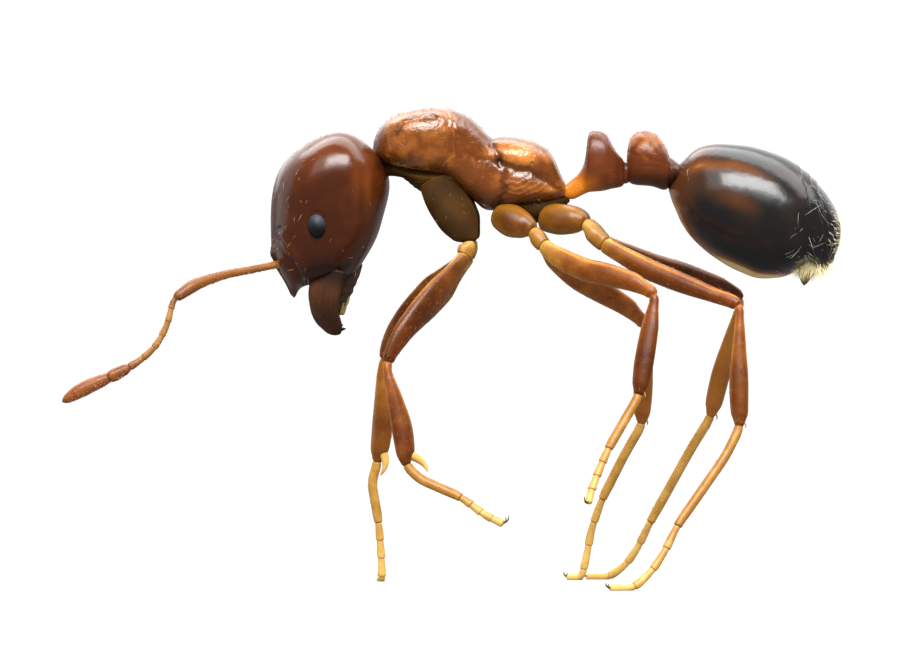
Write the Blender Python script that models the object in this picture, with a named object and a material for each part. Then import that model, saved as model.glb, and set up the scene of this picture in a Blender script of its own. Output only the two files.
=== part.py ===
"""A fire ant worker, standing still, at life size.

The frame has +X toward the tail, +Y to the ant's right and +Z up, with the floor at z = 0.
Every length is in millimetres; MM turns the finished meshes into metres.

Every piece is a loft: oval rings set along a route. A route is a list of points with rounded
corners, and a place on it is told as u, where u = 2.5 is half way from point 2 to point 3.
A limb is modelled whole and then parted at its joints by thin cuts.
"""
import math

import bmesh
import bpy
from mathutils import Vector

for old in list(bpy.data.objects):
    bpy.data.objects.remove(old)

MM = 0.001              # metres in a millimetre
GAP = 0.005             # clear space between two pieces that meet
CORNER = 0.09           # how far before and after a joint its corner is rounded
TANGENT_REACH = 0.02    # half the stretch of route over which its direction is read
CORNER_STEPS = 6        # straight steps that round one corner
SHARP_ANGLE = math.radians(40)
ACROSS = Vector((0, 1, 0))
SIDES = {"left": -1, "right": 1}

# colour, roughness of each kind of cuticle
COLOURS = {
    "head": ((0.10, 0.023, 0.009), 0.25),
    "jaw": ((0.045, 0.018, 0.008), 0.3),
    "eye": ((0.012, 0.014, 0.018), 0.25),
    "trunk": ((0.22, 0.065, 0.018), 0.3),
    "waist": ((0.26, 0.075, 0.02), 0.3),
    "gaster": ((0.025, 0.012, 0.008), 0.2),
    "sting": ((0.55, 0.42, 0.16), 0.4),
    "leg": ((0.28, 0.10, 0.025), 0.3),
    "foot": ((0.50, 0.24, 0.06), 0.4),
    "feeler": ((0.40, 0.16, 0.05), 0.4),
}

# ---------------------------------------------------------------- head
MOUTH = Vector((-1.155, 0, 2.535))      # middle of the mouth, where the head's axis starts
HEAD_LEAN = math.radians(10)            # the axis leans back toward the trunk
# along the axis from the mouth: half width, reach to the face, reach to the throat
HEAD_KEYS = [
    (-0.146, 0.025, 0.165, -0.140),
    (-0.100, 0.100, 0.190, -0.075),
    (-0.045, 0.200, 0.225, 0.020),
    (0.000, 0.300, 0.262, 0.160),
    (0.060, 0.380, 0.325, 0.270),
    (0.110, 0.425, 0.372, 0.320),
    (0.200, 0.470, 0.392, 0.350),
    (0.330, 0.515, 0.418, 0.405),
    (0.500, 0.562, 0.450, 0.455),
    (0.680, 0.600, 0.466, 0.470),
    (0.850, 0.622, 0.450, 0.480),
    (0.970, 0.610, 0.400, 0.462),
    (1.080, 0.565, 0.310, 0.395),
    (1.165, 0.500, 0.215, 0.305),
    (1.220, 0.425, 0.135, 0.225),
    (1.255, 0.340, 0.065, 0.150),
    (1.277, 0.200, 0.000, 0.075),
]
HEAD_RINGS = 18
HEAD_SIDES = 20
HEAD_POWER = 2.2
NOTCH_DEPTH = 0.05          # the crown dips in the middle
NOTCH_HALF_WIDTH = 0.2
NOTCH_START = 0.95          # place on the axis above which the crown dips

EYE_PLACE = Vector((-1.11, 0.50, 3.024))
EYE_RADII = Vector((0.078, 0.115, 0.108))   # front to back, sideways, up and down
EYE_STEPS = 6

JAW_ROUTE = [(-1.03, 0.34, 2.63), (-1.07, 0.30, 2.42), (-1.05, 0.19, 2.27), (-0.97, 0.08, 2.15),
             (-0.92, 0.03, 2.11)]
JAW_FLAT_SIDE = Vector((-0.45, 0.9, 0))     # the way the plate of the jaw faces
# u: half thickness, half breadth
JAW_KEYS = [(0, 0.07, 0.16), (1, 0.065, 0.145), (2, 0.055, 0.125), (3, 0.04, 0.08), (4, 0.015, 0.02)]
JAW_RINGS = 9
JAW_SIDES = 10
CHIN_ROUTE = [(-0.882, 0, 2.73), (-0.897, 0, 2.50), (-0.93, 0, 2.37), (-0.955, 0, 2.26)]
# u: half width, half depth
CHIN_KEYS = [(0, 0.17, 0.14), (0.5, 0.17, 0.12), (1, 0.15, 0.085), (2, 0.11, 0.07), (2.7, 0.09, 0.055),
             (3, 0.03, 0.02)]
CHIN_RINGS = 8

# ---------------------------------------------------------------- feelers
FEELER_ROUTES = {
    "left": [(-1.418, -0.120, 2.704), (-1.685, -0.230, 2.651), (-1.894, -0.330, 2.614),
             (-2.060, -0.420, 2.565), (-2.185, -0.480, 2.512), (-2.326, -0.550, 2.407),
             (-2.352, -0.560, 2.324), (-2.376, -0.570, 2.215), (-2.427, -0.580, 2.098),
             (-2.493, -0.590, 1.998), (-2.586, -0.590, 1.914), (-2.677, -0.600, 1.852),
             (-2.777, -0.600, 1.798), (-2.874, -0.600, 1.751), (-3.095, -0.590, 1.655),
             (-3.263, -0.580, 1.546)],
    "right": [(-1.420, 0.120, 2.702), (-1.691, 0.230, 2.646), (-1.902, 0.330, 2.607),
              (-2.072, 0.420, 2.556), (-2.200, 0.480, 2.501), (-2.344, 0.550, 2.394),
              (-2.370, 0.560, 2.309), (-2.395, 0.570, 2.199), (-2.446, 0.580, 2.082),
              (-2.513, 0.590, 1.980), (-2.607, 0.590, 1.896), (-2.700, 0.600, 1.832),
              (-2.795, 0.600, 1.779), (-2.885, 0.600, 1.735), (-3.100, 0.590, 1.642),
              (-3.266, 0.580, 1.538)],
}
# u: half thickness
FEELER_KEYS = [(0, 0.036), (0.3, 0.026), (1, 0.026), (2, 0.030), (3, 0.038), (4, 0.047), (4.7, 0.042),
               (5, 0.027), (5.4, 0.025), (7, 0.027), (10, 0.029), (11, 0.032), (11.7, 0.047),
               (12.5, 0.052), (13, 0.049), (13.4, 0.056), (14, 0.060), (14.6, 0.045), (14.9, 0.024),
               (15, 0.006)]
# name, first u, last u, rings
FEELER_PARTS = [("scape", 0, 5, 10), ("funiculus", 5, 11.2, 13), ("club", 11.2, 15, 13)]
FEELER_SIDES = 8

# ---------------------------------------------------------------- trunk
# along X: half width, top, bottom
TRUNK_KEYS = [
    (-0.638, 0.10, 3.634, 3.594),
    (-0.613, 0.19, 3.720, 3.564),
    (-0.563, 0.28, 3.804, 3.539),
    (-0.496, 0.34, 3.879, 3.518),
    (-0.412, 0.385, 3.938, 3.501),
    (-0.277, 0.415, 3.993, 3.484),
    (-0.126, 0.42, 4.018, 3.459),
    (-0.008, 0.40, 4.005, 3.409),
    (0.118, 0.365, 3.955, 3.308),
    (0.227, 0.33, 3.862, 3.207),
    (0.294, 0.30, 3.778, 3.153),
    (0.336, 0.28, 3.741, 3.157),
    (0.386, 0.285, 3.753, 3.165),
    (0.470, 0.30, 3.753, 3.169),
    (0.580, 0.305, 3.736, 3.182),
    (0.706, 0.29, 3.703, 3.195),
    (0.806, 0.245, 3.644, 3.207),
    (0.865, 0.20, 3.560, 3.224),
    (0.907, 0.15, 3.459, 3.241),
    (0.949, 0.08, 3.375, 3.264),
]
TRUNK_RINGS = 23
TRUNK_SIDES = 20
TRUNK_POWER = 2.3
# a point on each seam that parts the trunk, and the way the seam's plane faces
SHOULDER_SEAM = (Vector((-0.02, 0, 3.77)), Vector((0.96, 0, 0.28)))
SADDLE_SEAM = (Vector((0.385, 0, 3.454)), Vector((0.975, 0, 0.22)))
NECK_KEYS = [
    (-0.690, 0.05, 3.534, 3.464),
    (-0.596, 0.09, 3.560, 3.426),
    (-0.496, 0.13, 3.577, 3.417),
    (-0.412, 0.17, 3.560, 3.409),
    (-0.328, 0.22, 3.543, 3.375),
    (-0.244, 0.25, 3.526, 3.325),
    (-0.092, 0.26, 3.510, 3.308),
    (0.042, 0.24, 3.493, 3.314),
    (0.126, 0.20, 3.476, 3.334),
]
NECK_RINGS = 9
NECK_SIDES = 16

# ---------------------------------------------------------------- waist and gaster
PETIOLE_KEYS = [
    (0.900, 0.050, 3.334, 3.254),
    (0.966, 0.055, 3.375, 3.241),
    (1.016, 0.060, 3.417, 3.241),
    (1.067, 0.075, 3.463, 3.262),
    (1.109, 0.100, 3.522, 3.283),
    (1.138, 0.140, 3.619, 3.291),
    (1.155, 0.165, 3.720, 3.295),
    (1.172, 0.180, 3.778, 3.300),
    (1.201, 0.190, 3.799, 3.304),
    (1.252, 0.195, 3.808, 3.308),
    (1.294, 0.190, 3.787, 3.316),
    (1.327, 0.175, 3.736, 3.325),
    (1.369, 0.150, 3.657, 3.333),
    (1.411, 0.115, 3.594, 3.342),
    (1.462, 0.090, 3.535, 3.367),
    (1.484, 0.080, 3.501, 3.384),
]
POSTPETIOLE_KEYS = [
    (1.491, 0.100, 3.619, 3.409),
    (1.504, 0.150, 3.678, 3.384),
    (1.529, 0.190, 3.753, 3.367),
    (1.571, 0.220, 3.787, 3.358),
    (1.630, 0.235, 3.804, 3.354),
    (1.688, 0.230, 3.791, 3.346),
    (1.739, 0.215, 3.762, 3.329),
    (1.781, 0.195, 3.703, 3.316),
    (1.823, 0.170, 3.627, 3.334),
    (1.865, 0.140, 3.569, 3.364),
    (1.920, 0.110, 3.524, 3.404),
]
WAIST_SIDES = 14
PETIOLE_RINGS = 16
POSTPETIOLE_RINGS = 12

GASTER_START = Vector((1.823, 0, 3.434))
GASTER_AIM = Vector((0.918, 0, -0.397))
# along the aim: half width, reach up, reach down
GASTER_KEYS = [
    (0.030, 0.060, 0.070, 0.090),
    (0.062, 0.110, 0.115, 0.130),
    (0.100, 0.170, 0.220, 0.178),
    (0.167, 0.250, 0.300, 0.240),
    (0.250, 0.325, 0.365, 0.320),
    (0.370, 0.400, 0.425, 0.395),
    (0.490, 0.445, 0.465, 0.440),
    (0.630, 0.475, 0.495, 0.468),
    (0.820, 0.490, 0.512, 0.488),
    (0.990, 0.485, 0.495, 0.485),
    (1.120, 0.460, 0.463, 0.440),
    (1.230, 0.420, 0.412, 0.385),
    (1.330, 0.365, 0.355, 0.335),
    (1.410, 0.300, 0.290, 0.300),
    (1.480, 0.225, 0.205, 0.270),
    (1.525, 0.140, 0.110, 0.245),
    (1.550, 0.060, 0.000, 0.220),
]
GASTER_SEAMS = [0.97, 1.20, 1.38]       # places along the aim where one plate ends
GASTER_RINGS = 21
GASTER_SIDES = 20
STING_ROUTE = [(3.00, 0, 2.794), (2.98, 0, 2.674), (2.955, 0, 2.514)]
STING_KEYS = [(0, 0.10), (1, 0.09), (1.5, 0.055), (1.9, 0.02), (2, 0.006)]

# ---------------------------------------------------------------- legs
# root in the body, tip of coxa, tip of trochanter, knee, ankle, bend and end of the long first
# joint of the foot, then the toe joints to the tip
FOOT_HEIGHT = 0.018         # middle of a toe joint that rests on the floor
LEG_ROUTES = {
    "fore_left": [(-0.04, -0.15, 3.38), (0.15, -0.27, 2.88), (0.11, -0.31, 2.76), (-0.55, -0.80, 1.89),
                  (-0.38, -0.90, 1.02), (-0.27, -0.92, 0.91), (0.08, -1.00, 0.76), (0.28, -1.06, 0.61),
                  (0.43, -1.10, 0.54)],
    "fore_right": [(-0.02, 0.15, 3.38), (0.17, 0.27, 2.89), (0.14, 0.31, 2.75), (-0.58, 0.80, 1.89),
                   (-0.63, 0.90, 1.01), (-0.68, 0.92, 0.84), (-0.62, 0.95, 0.50), (-0.60, 0.98, 0.24),
                   (-0.59, 1.01, FOOT_HEIGHT), (-0.61, 1.15, FOOT_HEIGHT)],
    "mid_left": [(0.37, -0.12, 3.14), (0.68, -0.34, 2.98), (0.76, -0.40, 2.85), (1.70, -1.00, 2.46),
                 (1.56, -1.15, 1.61), (1.44, -1.22, 1.41), (1.30, -1.32, 1.17), (1.21, -1.40, 0.96),
                 (1.16, -1.46, 0.83), (1.13, -1.52, 0.72)],
    "mid_right": [(0.37, 0.12, 3.14), (0.69, 0.34, 2.98), (0.78, 0.40, 2.84), (1.64, 1.00, 2.18),
                  (1.61, 1.12, 1.33), (1.46, 1.18, 1.07), (1.27, 1.28, 0.69), (1.18, 1.36, 0.43),
                  (1.14, 1.41, 0.20), (1.10, 1.45, FOOT_HEIGHT), (0.98, 1.53, FOOT_HEIGHT)],
    "hind_left": [(0.75, -0.12, 3.10), (1.12, -0.34, 3.05), (1.28, -0.42, 2.87), (2.40, -1.05, 2.37),
                  (2.40, -1.20, 1.35), (2.28, -1.28, 1.11), (1.87, -1.48, 0.53), (1.78, -1.54, 0.34),
                  (1.67, -1.60, 0.17), (1.51, -1.65, FOOT_HEIGHT), (1.31, -1.70, FOOT_HEIGHT)],
    "hind_right": [(0.77, 0.12, 3.10), (1.15, 0.34, 3.07), (1.28, 0.42, 2.89), (2.45, 1.05, 2.37),
                   (2.19, 1.20, 1.39), (2.02, 1.28, 1.11), (1.68, 1.48, 0.49), (1.58, 1.54, 0.28),
                   (1.48, 1.60, 0.13), (1.33, 1.65, FOOT_HEIGHT), (1.14, 1.70, FOOT_HEIGHT)],
}
# share of the segment: half thickness seen from the front, reach outward, reach to the inside
# of the bend
COXA_KEYS = {
    "fore": [(0, 0.125, 0.19, 0.19), (0.30, 0.125, 0.205, 0.205), (0.65, 0.115, 0.18, 0.18),
             (0.88, 0.085, 0.125, 0.125), (0.98, 0.055, 0.07, 0.07)],
    "mid": [(0, 0.06, 0.07, 0.07), (0.15, 0.09, 0.105, 0.105), (0.45, 0.11, 0.128, 0.128),
            (0.75, 0.095, 0.11, 0.11), (0.93, 0.06, 0.075, 0.075)],
    "hind": [(0, 0.06, 0.07, 0.07), (0.12, 0.09, 0.100, 0.100), (0.40, 0.11, 0.125, 0.125),
             (0.72, 0.10, 0.115, 0.115), (0.92, 0.065, 0.08, 0.08)],
}
FEMUR_KEYS = {
    "fore": [(0.15, 0.058, 0.085, 0.070), (0.35, 0.080, 0.130, 0.115), (0.55, 0.090, 0.148, 0.098),
             (0.75, 0.080, 0.142, 0.050), (0.90, 0.060, 0.100, 0.045)],
    "mid": [(0.12, 0.055, 0.052, 0.080), (0.35, 0.070, 0.052, 0.105), (0.60, 0.075, 0.088, 0.080),
            (0.80, 0.066, 0.098, 0.050), (0.92, 0.050, 0.065, 0.045)],
    "hind": [(0.12, 0.060, 0.058, 0.095), (0.35, 0.072, 0.066, 0.132), (0.60, 0.078, 0.090, 0.115),
             (0.80, 0.066, 0.090, 0.075), (0.93, 0.050, 0.065, 0.058)],
}
TIBIA_KEYS = {
    "fore": [(0.10, 0.042, 0.050, 0.038), (0.35, 0.060, 0.055, 0.082), (0.65, 0.070, 0.065, 0.118),
             (0.87, 0.065, 0.068, 0.098), (0.97, 0.038, 0.045, 0.045)],
    "mid": [(0.10, 0.038, 0.048, 0.045), (0.35, 0.052, 0.076, 0.064), (0.65, 0.060, 0.082, 0.074),
            (0.88, 0.055, 0.070, 0.065), (0.97, 0.036, 0.045, 0.045)],
    "hind": [(0.10, 0.038, 0.045, 0.045), (0.35, 0.054, 0.064, 0.064), (0.65, 0.066, 0.085, 0.080),
             (0.88, 0.060, 0.078, 0.070), (0.97, 0.036, 0.045, 0.045)],
}
TROCHANTER_HALF = {"fore": 0.062, "mid": 0.066, "hind": 0.074}
HIP_HALF = 0.052            # where the coxa meets the trochanter
KNEE_HALF = 0.056
ANKLE_HALF = 0.041
TARSUS_HALF = 0.036
TOE_HALF = 0.029
TOE_JOINTS = 4              # short joints after the long first one of each tarsus
TOE_SWELL = [(0.06, 0.85), (0.85, 1.12)]    # share of a short joint, its swelling there
LIMB_FLATNESS = 0.85        # a limb is this much thinner seen from the front
LEG_SIDES = 8
TARSUS_SIDES = 8
# name, first u, last u, rings
LEG_PARTS = [("coxa", 0, 1, 7), ("trochanter", 1, 2, 4), ("femur", 2, 3, 8), ("tibia", 3, 4, 7),
             ("basitarsus", 4, 6, 5)]
TOES_START = 6


def slope(keys, index):
    """Slope of the curve through the keys at one key, flat where the values turn back."""
    if index == 0:
        return (keys[1][1] - keys[0][1]) / (keys[1][0] - keys[0][0])
    if index == len(keys) - 1:
        return (keys[-1][1] - keys[-2][1]) / (keys[-1][0] - keys[-2][0])
    before = (keys[index][1] - keys[index - 1][1]) / (keys[index][0] - keys[index - 1][0])
    after = (keys[index + 1][1] - keys[index][1]) / (keys[index + 1][0] - keys[index][0])
    if before * after <= 0:
        return 0.0
    return 2 * before * after / (before + after)


def read_curve(keys, place):
    """Value at a place of a smooth curve through (place, value) keys, never past a key."""
    if place <= keys[0][0]:
        return keys[0][1]
    if place >= keys[-1][0]:
        return keys[-1][1]
    i = 0
    while keys[i + 1][0] < place:
        i += 1
    span = keys[i + 1][0] - keys[i][0]
    t = (place - keys[i][0]) / span
    start = (2 * t**3 - 3 * t**2 + 1) * keys[i][1] + (t**3 - 2 * t**2 + t) * span * slope(keys, i)
    end = (3 * t**2 - 2 * t**3) * keys[i + 1][1] + (t**3 - t**2) * span * slope(keys, i + 1)
    return start + end


def read_table(table, place):
    """Read every column of a table whose first column is the place."""
    return [read_curve([(row[0], row[column]) for row in table], place)
            for column in range(1, len(table[0]))]


class Route:
    """A way through points in space, with rounded corners; places on it are told as u."""

    def __init__(self, points, corner=CORNER):
        points = [Vector(p) for p in points]
        self.dots = [points[0]]
        marks = [0]
        for before, here, after in zip(points, points[1:], points[2:]):
            reach = min(corner, 0.45 * (here - before).length, 0.45 * (after - here).length)
            start = here + (before - here).normalized() * reach
            end = here + (after - here).normalized() * reach
            for step in range(CORNER_STEPS + 1):
                t = step / CORNER_STEPS
                self.dots.append(start * (1 - t)**2 + here * 2 * t * (1 - t) + end * t**2)
            marks.append(len(self.dots) - 1 - CORNER_STEPS // 2)
        self.dots.append(points[-1])
        marks.append(len(self.dots) - 1)
        self.lengths = [0.0]
        for a, b in zip(self.dots, self.dots[1:]):
            self.lengths.append(self.lengths[-1] + (b - a).length)
        self.marks = [self.lengths[m] for m in marks]

    def run(self, u):
        """Length of the route from its start to the place u."""
        i = min(int(u), len(self.marks) - 2)
        return self.marks[i] + (u - i) * (self.marks[i + 1] - self.marks[i])

    def place(self, run):
        """The place u that lies this far along the route."""
        i = 0
        while i < len(self.marks) - 2 and self.marks[i + 1] < run:
            i += 1
        return i + (run - self.marks[i]) / (self.marks[i + 1] - self.marks[i])

    def point(self, run):
        """The point this far along, carried straight on past either end."""
        i = 0
        while i < len(self.lengths) - 2 and self.lengths[i + 1] < run:
            i += 1
        a, b = self.dots[i], self.dots[i + 1]
        return a + (b - a).normalized() * (run - self.lengths[i])

    def aim(self, run):
        """The direction of the route this far along."""
        return (self.point(run + TANGENT_REACH) - self.point(run - TANGENT_REACH)).normalized()


def signed_power(value, power):
    return math.copysign(abs(value)**power, value)


def oval(centre, aim, side, half, above, below, count, power=2.0):
    """A ring of points round a route. Above is measured along aim x side, below against it."""
    side = (side - aim * side.dot(aim)).normalized()
    up = aim.cross(side)
    middle = centre + up * (above - below) / 2
    points = []
    for k in range(count):
        angle = 2 * math.pi * k / count
        across = half * signed_power(math.cos(angle), 2 / power)
        rise = (above + below) / 2 * signed_power(math.sin(angle), 2 / power)
        points.append(middle + side * across + up * rise)
    return points


def skin_rings(rings):
    """A closed body through rings of points, with a flat face at each end."""
    body = bmesh.new()
    loops = [[body.verts.new(p) for p in ring] for ring in rings]
    for lower, upper in zip(loops, loops[1:]):
        for k in range(len(lower)):
            body.faces.new((lower[k - 1], lower[k], upper[k], upper[k - 1]))
    body.faces.new(loops[0])
    body.faces.new(loops[-1])
    bmesh.ops.recalc_face_normals(body, faces=body.faces)
    return body


def spread(first, last, count, ends=1.0):
    """Places from first to last, drawn together toward both ends by the share ends."""
    places = []
    for k in range(count):
        even = k / (count - 1)
        bunched = (1 - math.cos(math.pi * even)) / 2
        places.append(first + (last - first) * (even * (1 - ends) + bunched * ends))
    return places


def tapered(start, aim, table, rings, count, power=2.0, grow=0.0):
    """A loft along a straight axis from a table of half width, reach above and reach below."""
    aim = aim.normalized()
    loops = []
    for place in spread(table[0][0], table[-1][0], rings, 0.55):
        half, above, below = read_table(table, place)
        at = start + aim * place
        loops.append(oval(at, aim, ACROSS, half + grow, above + grow, below + grow, count, power))
    if grow:
        loops[0] = [p - aim * grow for p in loops[0]]
        loops[-1] = [p + aim * grow for p in loops[-1]]
    return skin_rings(loops)


def barrel(table, rings, count, power=2.0, grow=0.0):
    """A loft along X whose table gives half width, top and bottom."""
    table = [(x, half, top, -bottom) for x, half, top, bottom in table]
    return tapered(Vector(), Vector((1, 0, 0)), table, rings, count, power, grow)


def limb(route, table, first, last, rings, count, flat_side, grow=0.0):
    """A stretch of a limb from u = first to u = last, with half a gap left at each cut."""
    start = route.run(first) + (GAP / 2 if first > 0 else 0)
    end = route.run(last) - (GAP / 2 if last < len(route.marks) - 1 else 0)
    loops = []
    for run in spread(start, end, rings, 0.4):
        reach = [value + grow for value in read_table(table, route.place(run))]
        loops.append(oval(route.point(run), route.aim(run), flat_side, *reach, count))
    return skin_rings(loops)


def round_rows(keys):
    """Rows for a limb that is as thick one way as the other."""
    return [(u, half, half, half) for u, half in keys]


def plate_rows(keys):
    """Rows for a limb that is flat: its half thickness, then its half breadth both ways."""
    return [(u, thin, broad, broad) for u, thin, broad in keys]


def cut_away(body, point, facing):
    """Cut a body at a plane, drop what lies on the side the plane faces, and close the cut."""
    everything = body.verts[:] + body.edges[:] + body.faces[:]
    bmesh.ops.bisect_plane(body, geom=everything, plane_co=point, plane_no=facing, clear_outer=True)
    rim = [edge for edge in body.edges if edge.is_boundary]
    bmesh.ops.holes_fill(body, edges=rim)
    bmesh.ops.recalc_face_normals(body, faces=body.faces)
    return body


def keep_between(body, before, after):
    """Part a body at the planes before and after; either may be None."""
    if before:
        point, facing = before
        cut_away(body, point + facing.normalized() * GAP / 2, -facing)
    if after:
        point, facing = after
        cut_away(body, point - facing.normalized() * GAP / 2, facing)
    return body


def cuticle(kind):
    """The material of one kind of cuticle."""
    if kind in bpy.data.materials:
        return bpy.data.materials[kind]
    colour, roughness = COLOURS[kind]
    material = bpy.data.materials.new(kind)
    material.use_nodes = True
    shader = material.node_tree.nodes["Principled BSDF"]
    shader.inputs["Base Color"].default_value = (*colour, 1)
    shader.inputs["Roughness"].default_value = roughness
    shader.inputs["Metallic"].default_value = 0.0
    return material


def finish(name, body, kind):
    """Turn a body in millimetres into a named object in metres."""
    bmesh.ops.scale(body, vec=(MM, MM, MM), verts=body.verts)
    mesh = bpy.data.meshes.new(name)
    body.to_mesh(mesh)
    body.free()
    mesh.shade_smooth()
    mesh.set_sharp_from_angle(angle=SHARP_ANGLE)
    piece = bpy.data.objects.new(name, mesh)
    bpy.context.scene.collection.objects.link(piece)
    if kind:
        mesh.materials.append(cuticle(kind))
    return piece


def cutter(name, body):
    """A grown copy of a piece, which makes room for that piece in its neighbours."""
    piece = finish("cut_" + name, body, None)
    piece.hide_render = True
    piece.display_type = "WIRE"
    return piece


def make_room(piece, cutters):
    """Take the cutters' space out of a piece."""
    for tool in cutters:
        cut = piece.modifiers.new(tool.name, "BOOLEAN")
        cut.operation = "DIFFERENCE"
        cut.object = tool


def head_body(grow=0.0):
    """The head capsule, a thick heart seen from the front, dipping at the crown."""
    aim = Vector((math.sin(HEAD_LEAN), 0, math.cos(HEAD_LEAN)))
    body = tapered(MOUTH, aim, HEAD_KEYS, HEAD_RINGS, HEAD_SIDES, HEAD_POWER, grow)
    top = HEAD_KEYS[-1][0]
    for vert in body.verts:
        height = ((vert.co - MOUTH).dot(aim) - NOTCH_START) / (top - NOTCH_START)
        if height > 0:
            middle = math.exp(-(vert.co.y / NOTCH_HALF_WIDTH)**2)
            vert.co -= aim * NOTCH_DEPTH * middle * min(height, 1)**2
    return body


def eye_body(side):
    body = bmesh.new()
    bmesh.ops.create_uvsphere(body, u_segments=2 * EYE_STEPS, v_segments=EYE_STEPS, radius=1)
    bmesh.ops.scale(body, vec=EYE_RADII, verts=body.verts)
    place = Vector((EYE_PLACE.x, side * EYE_PLACE.y, EYE_PLACE.z))
    bmesh.ops.translate(body, vec=place, verts=body.verts)
    return body


def mirrored(points, side):
    return [(x, side * y, z) for x, y, z in points]


def jaw_body(side, grow=0.0):
    """One mandible, a curved plate that meets its fellow in the middle plane."""
    route = Route(mirrored(JAW_ROUTE, side))
    facing = Vector((JAW_FLAT_SIDE.x, side * JAW_FLAT_SIDE.y, 0))
    body = limb(route, plate_rows(JAW_KEYS), 0, 4, JAW_RINGS, JAW_SIDES, facing, grow)
    if not grow:
        cut_away(body, Vector((0, side * GAP / 2, 0)), Vector((0, -side, 0)))
    return body


def build_head():
    """Head capsule, eyes, mandibles and mouthparts; gives the cutter of the head."""
    finish("head", head_body(), "head")
    room = cutter("head", head_body(GAP))
    jaw_rooms = []
    for name, side in SIDES.items():
        make_room(finish("eye_" + name, eye_body(side), "eye"), [room])
        make_room(finish("mandible_" + name, jaw_body(side), "jaw"), [room])
        jaw_rooms.append(cutter("mandible_" + name, jaw_body(side, GAP)))
    chin = limb(Route(CHIN_ROUTE), plate_rows(CHIN_KEYS), 0, 3, CHIN_RINGS, JAW_SIDES, ACROSS)
    make_room(finish("mouthparts", chin, "jaw"), [room] + jaw_rooms)
    return room


def build_feelers(head_room):
    """Both feelers: a long first joint, a row of short ones and a club of two."""
    for side, points in FEELER_ROUTES.items():
        route = Route(points)
        for part, first, last, rings in FEELER_PARTS:
            body = limb(route, round_rows(FEELER_KEYS), first, last, rings, FEELER_SIDES, ACROSS)
            piece = finish("antenna_" + side + "_" + part, body, "feeler")
            if first == 0:
                make_room(piece, [head_room])


def trunk_body(grow=0.0):
    return barrel(TRUNK_KEYS, TRUNK_RINGS, TRUNK_SIDES, TRUNK_POWER, grow)


def neck_body(grow=0.0):
    return barrel(NECK_KEYS, NECK_RINGS, NECK_SIDES, 2.0, grow)


def build_trunk(head_room):
    """The trunk parted at its seams, and the neck under its front; gives their cutters."""
    seams = [("pronotum", None, SHOULDER_SEAM), ("mesonotum", SHOULDER_SEAM, SADDLE_SEAM),
             ("propodeum", SADDLE_SEAM, None)]
    for name, before, after in seams:
        piece = finish(name, keep_between(trunk_body(), before, after), "trunk")
        if name == "pronotum":
            make_room(piece, [head_room])
    trunk_room = cutter("trunk", trunk_body(GAP))
    neck_room = cutter("propleuron", neck_body(GAP))
    make_room(finish("propleuron", neck_body(), "trunk"), [trunk_room, head_room])
    return [trunk_room, neck_room]


def gaster_body(grow=0.0):
    return tapered(GASTER_START, GASTER_AIM, GASTER_KEYS, GASTER_RINGS, GASTER_SIDES, 2.0, grow)


def build_waist_and_gaster(trunk_room):
    """The two knots of the waist, the four plates of the gaster and the sting."""
    petiole = barrel(PETIOLE_KEYS, PETIOLE_RINGS, WAIST_SIDES, 2.2)
    make_room(finish("petiole", petiole, "waist"), [trunk_room])
    gaster_room = cutter("gaster", gaster_body(GAP))
    postpetiole = barrel(POSTPETIOLE_KEYS, POSTPETIOLE_RINGS, WAIST_SIDES, 2.2)
    make_room(finish("postpetiole", postpetiole, "waist"), [gaster_room])
    aim = GASTER_AIM.normalized()
    seams = [None] + [(GASTER_START + aim * place, aim) for place in GASTER_SEAMS] + [None]
    for number, (before, after) in enumerate(zip(seams, seams[1:]), start=1):
        finish("gaster_%d" % number, keep_between(gaster_body(), before, after), "gaster")
    sting = limb(Route(STING_ROUTE), round_rows(STING_KEYS), 0, 2, 6, JAW_SIDES, ACROSS)
    make_room(finish("sting", sting, "sting"), [gaster_room])


def leg_table(pair, last):
    """Half thickness from the front, and reach to each side of the route, all down a leg."""
    hip, trochanter = HIP_HALF, TROCHANTER_HALF[pair]
    rows = [(share, front, outer, inner) for share, front, outer, inner in COXA_KEYS[pair]]
    rows += [(1.0, hip, hip, hip), (1.5, trochanter * LIMB_FLATNESS, trochanter, trochanter),
             (2.0, hip, trochanter * 0.92, trochanter * 0.92)]
    rows += [(2 + share, front, outer, inner) for share, front, outer, inner in FEMUR_KEYS[pair]]
    rows += [(3.0, KNEE_HALF * LIMB_FLATNESS, KNEE_HALF, KNEE_HALF)]
    rows += [(3 + share, front, outer, inner) for share, front, outer, inner in TIBIA_KEYS[pair]]
    rows += [(u, half * LIMB_FLATNESS, half, half) for u, half in
             ((4.0, ANKLE_HALF), (4.2, TARSUS_HALF * 1.05), (5.8, TARSUS_HALF),
              (TOES_START, TARSUS_HALF * 0.85), (last - 0.1, TOE_HALF), (last, TOE_HALF * 0.6))]
    return rows


def toes_body(route, table, plane):
    """The short joints of a foot, each wider at its far end, flat where they meet the floor."""
    last = len(route.marks) - 1
    start = route.run(TOES_START) + GAP / 2
    length = route.run(last) - start
    loops = []
    for joint in range(TOE_JOINTS):
        for share, swell in TOE_SWELL:
            run = start + length * (joint + share) / TOE_JOINTS
            reach = [swell * value for value in read_table(table, route.place(run))]
            loops.append(oval(route.point(run), route.aim(run), plane, *reach, TARSUS_SIDES))
    run = route.run(last)
    loops.append(oval(route.point(run), route.aim(run), plane, *read_table(table, last), TARSUS_SIDES))
    body = skin_rings(loops)
    for vert in body.verts:
        vert.co.z = max(vert.co.z, 0)
    return body


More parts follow.
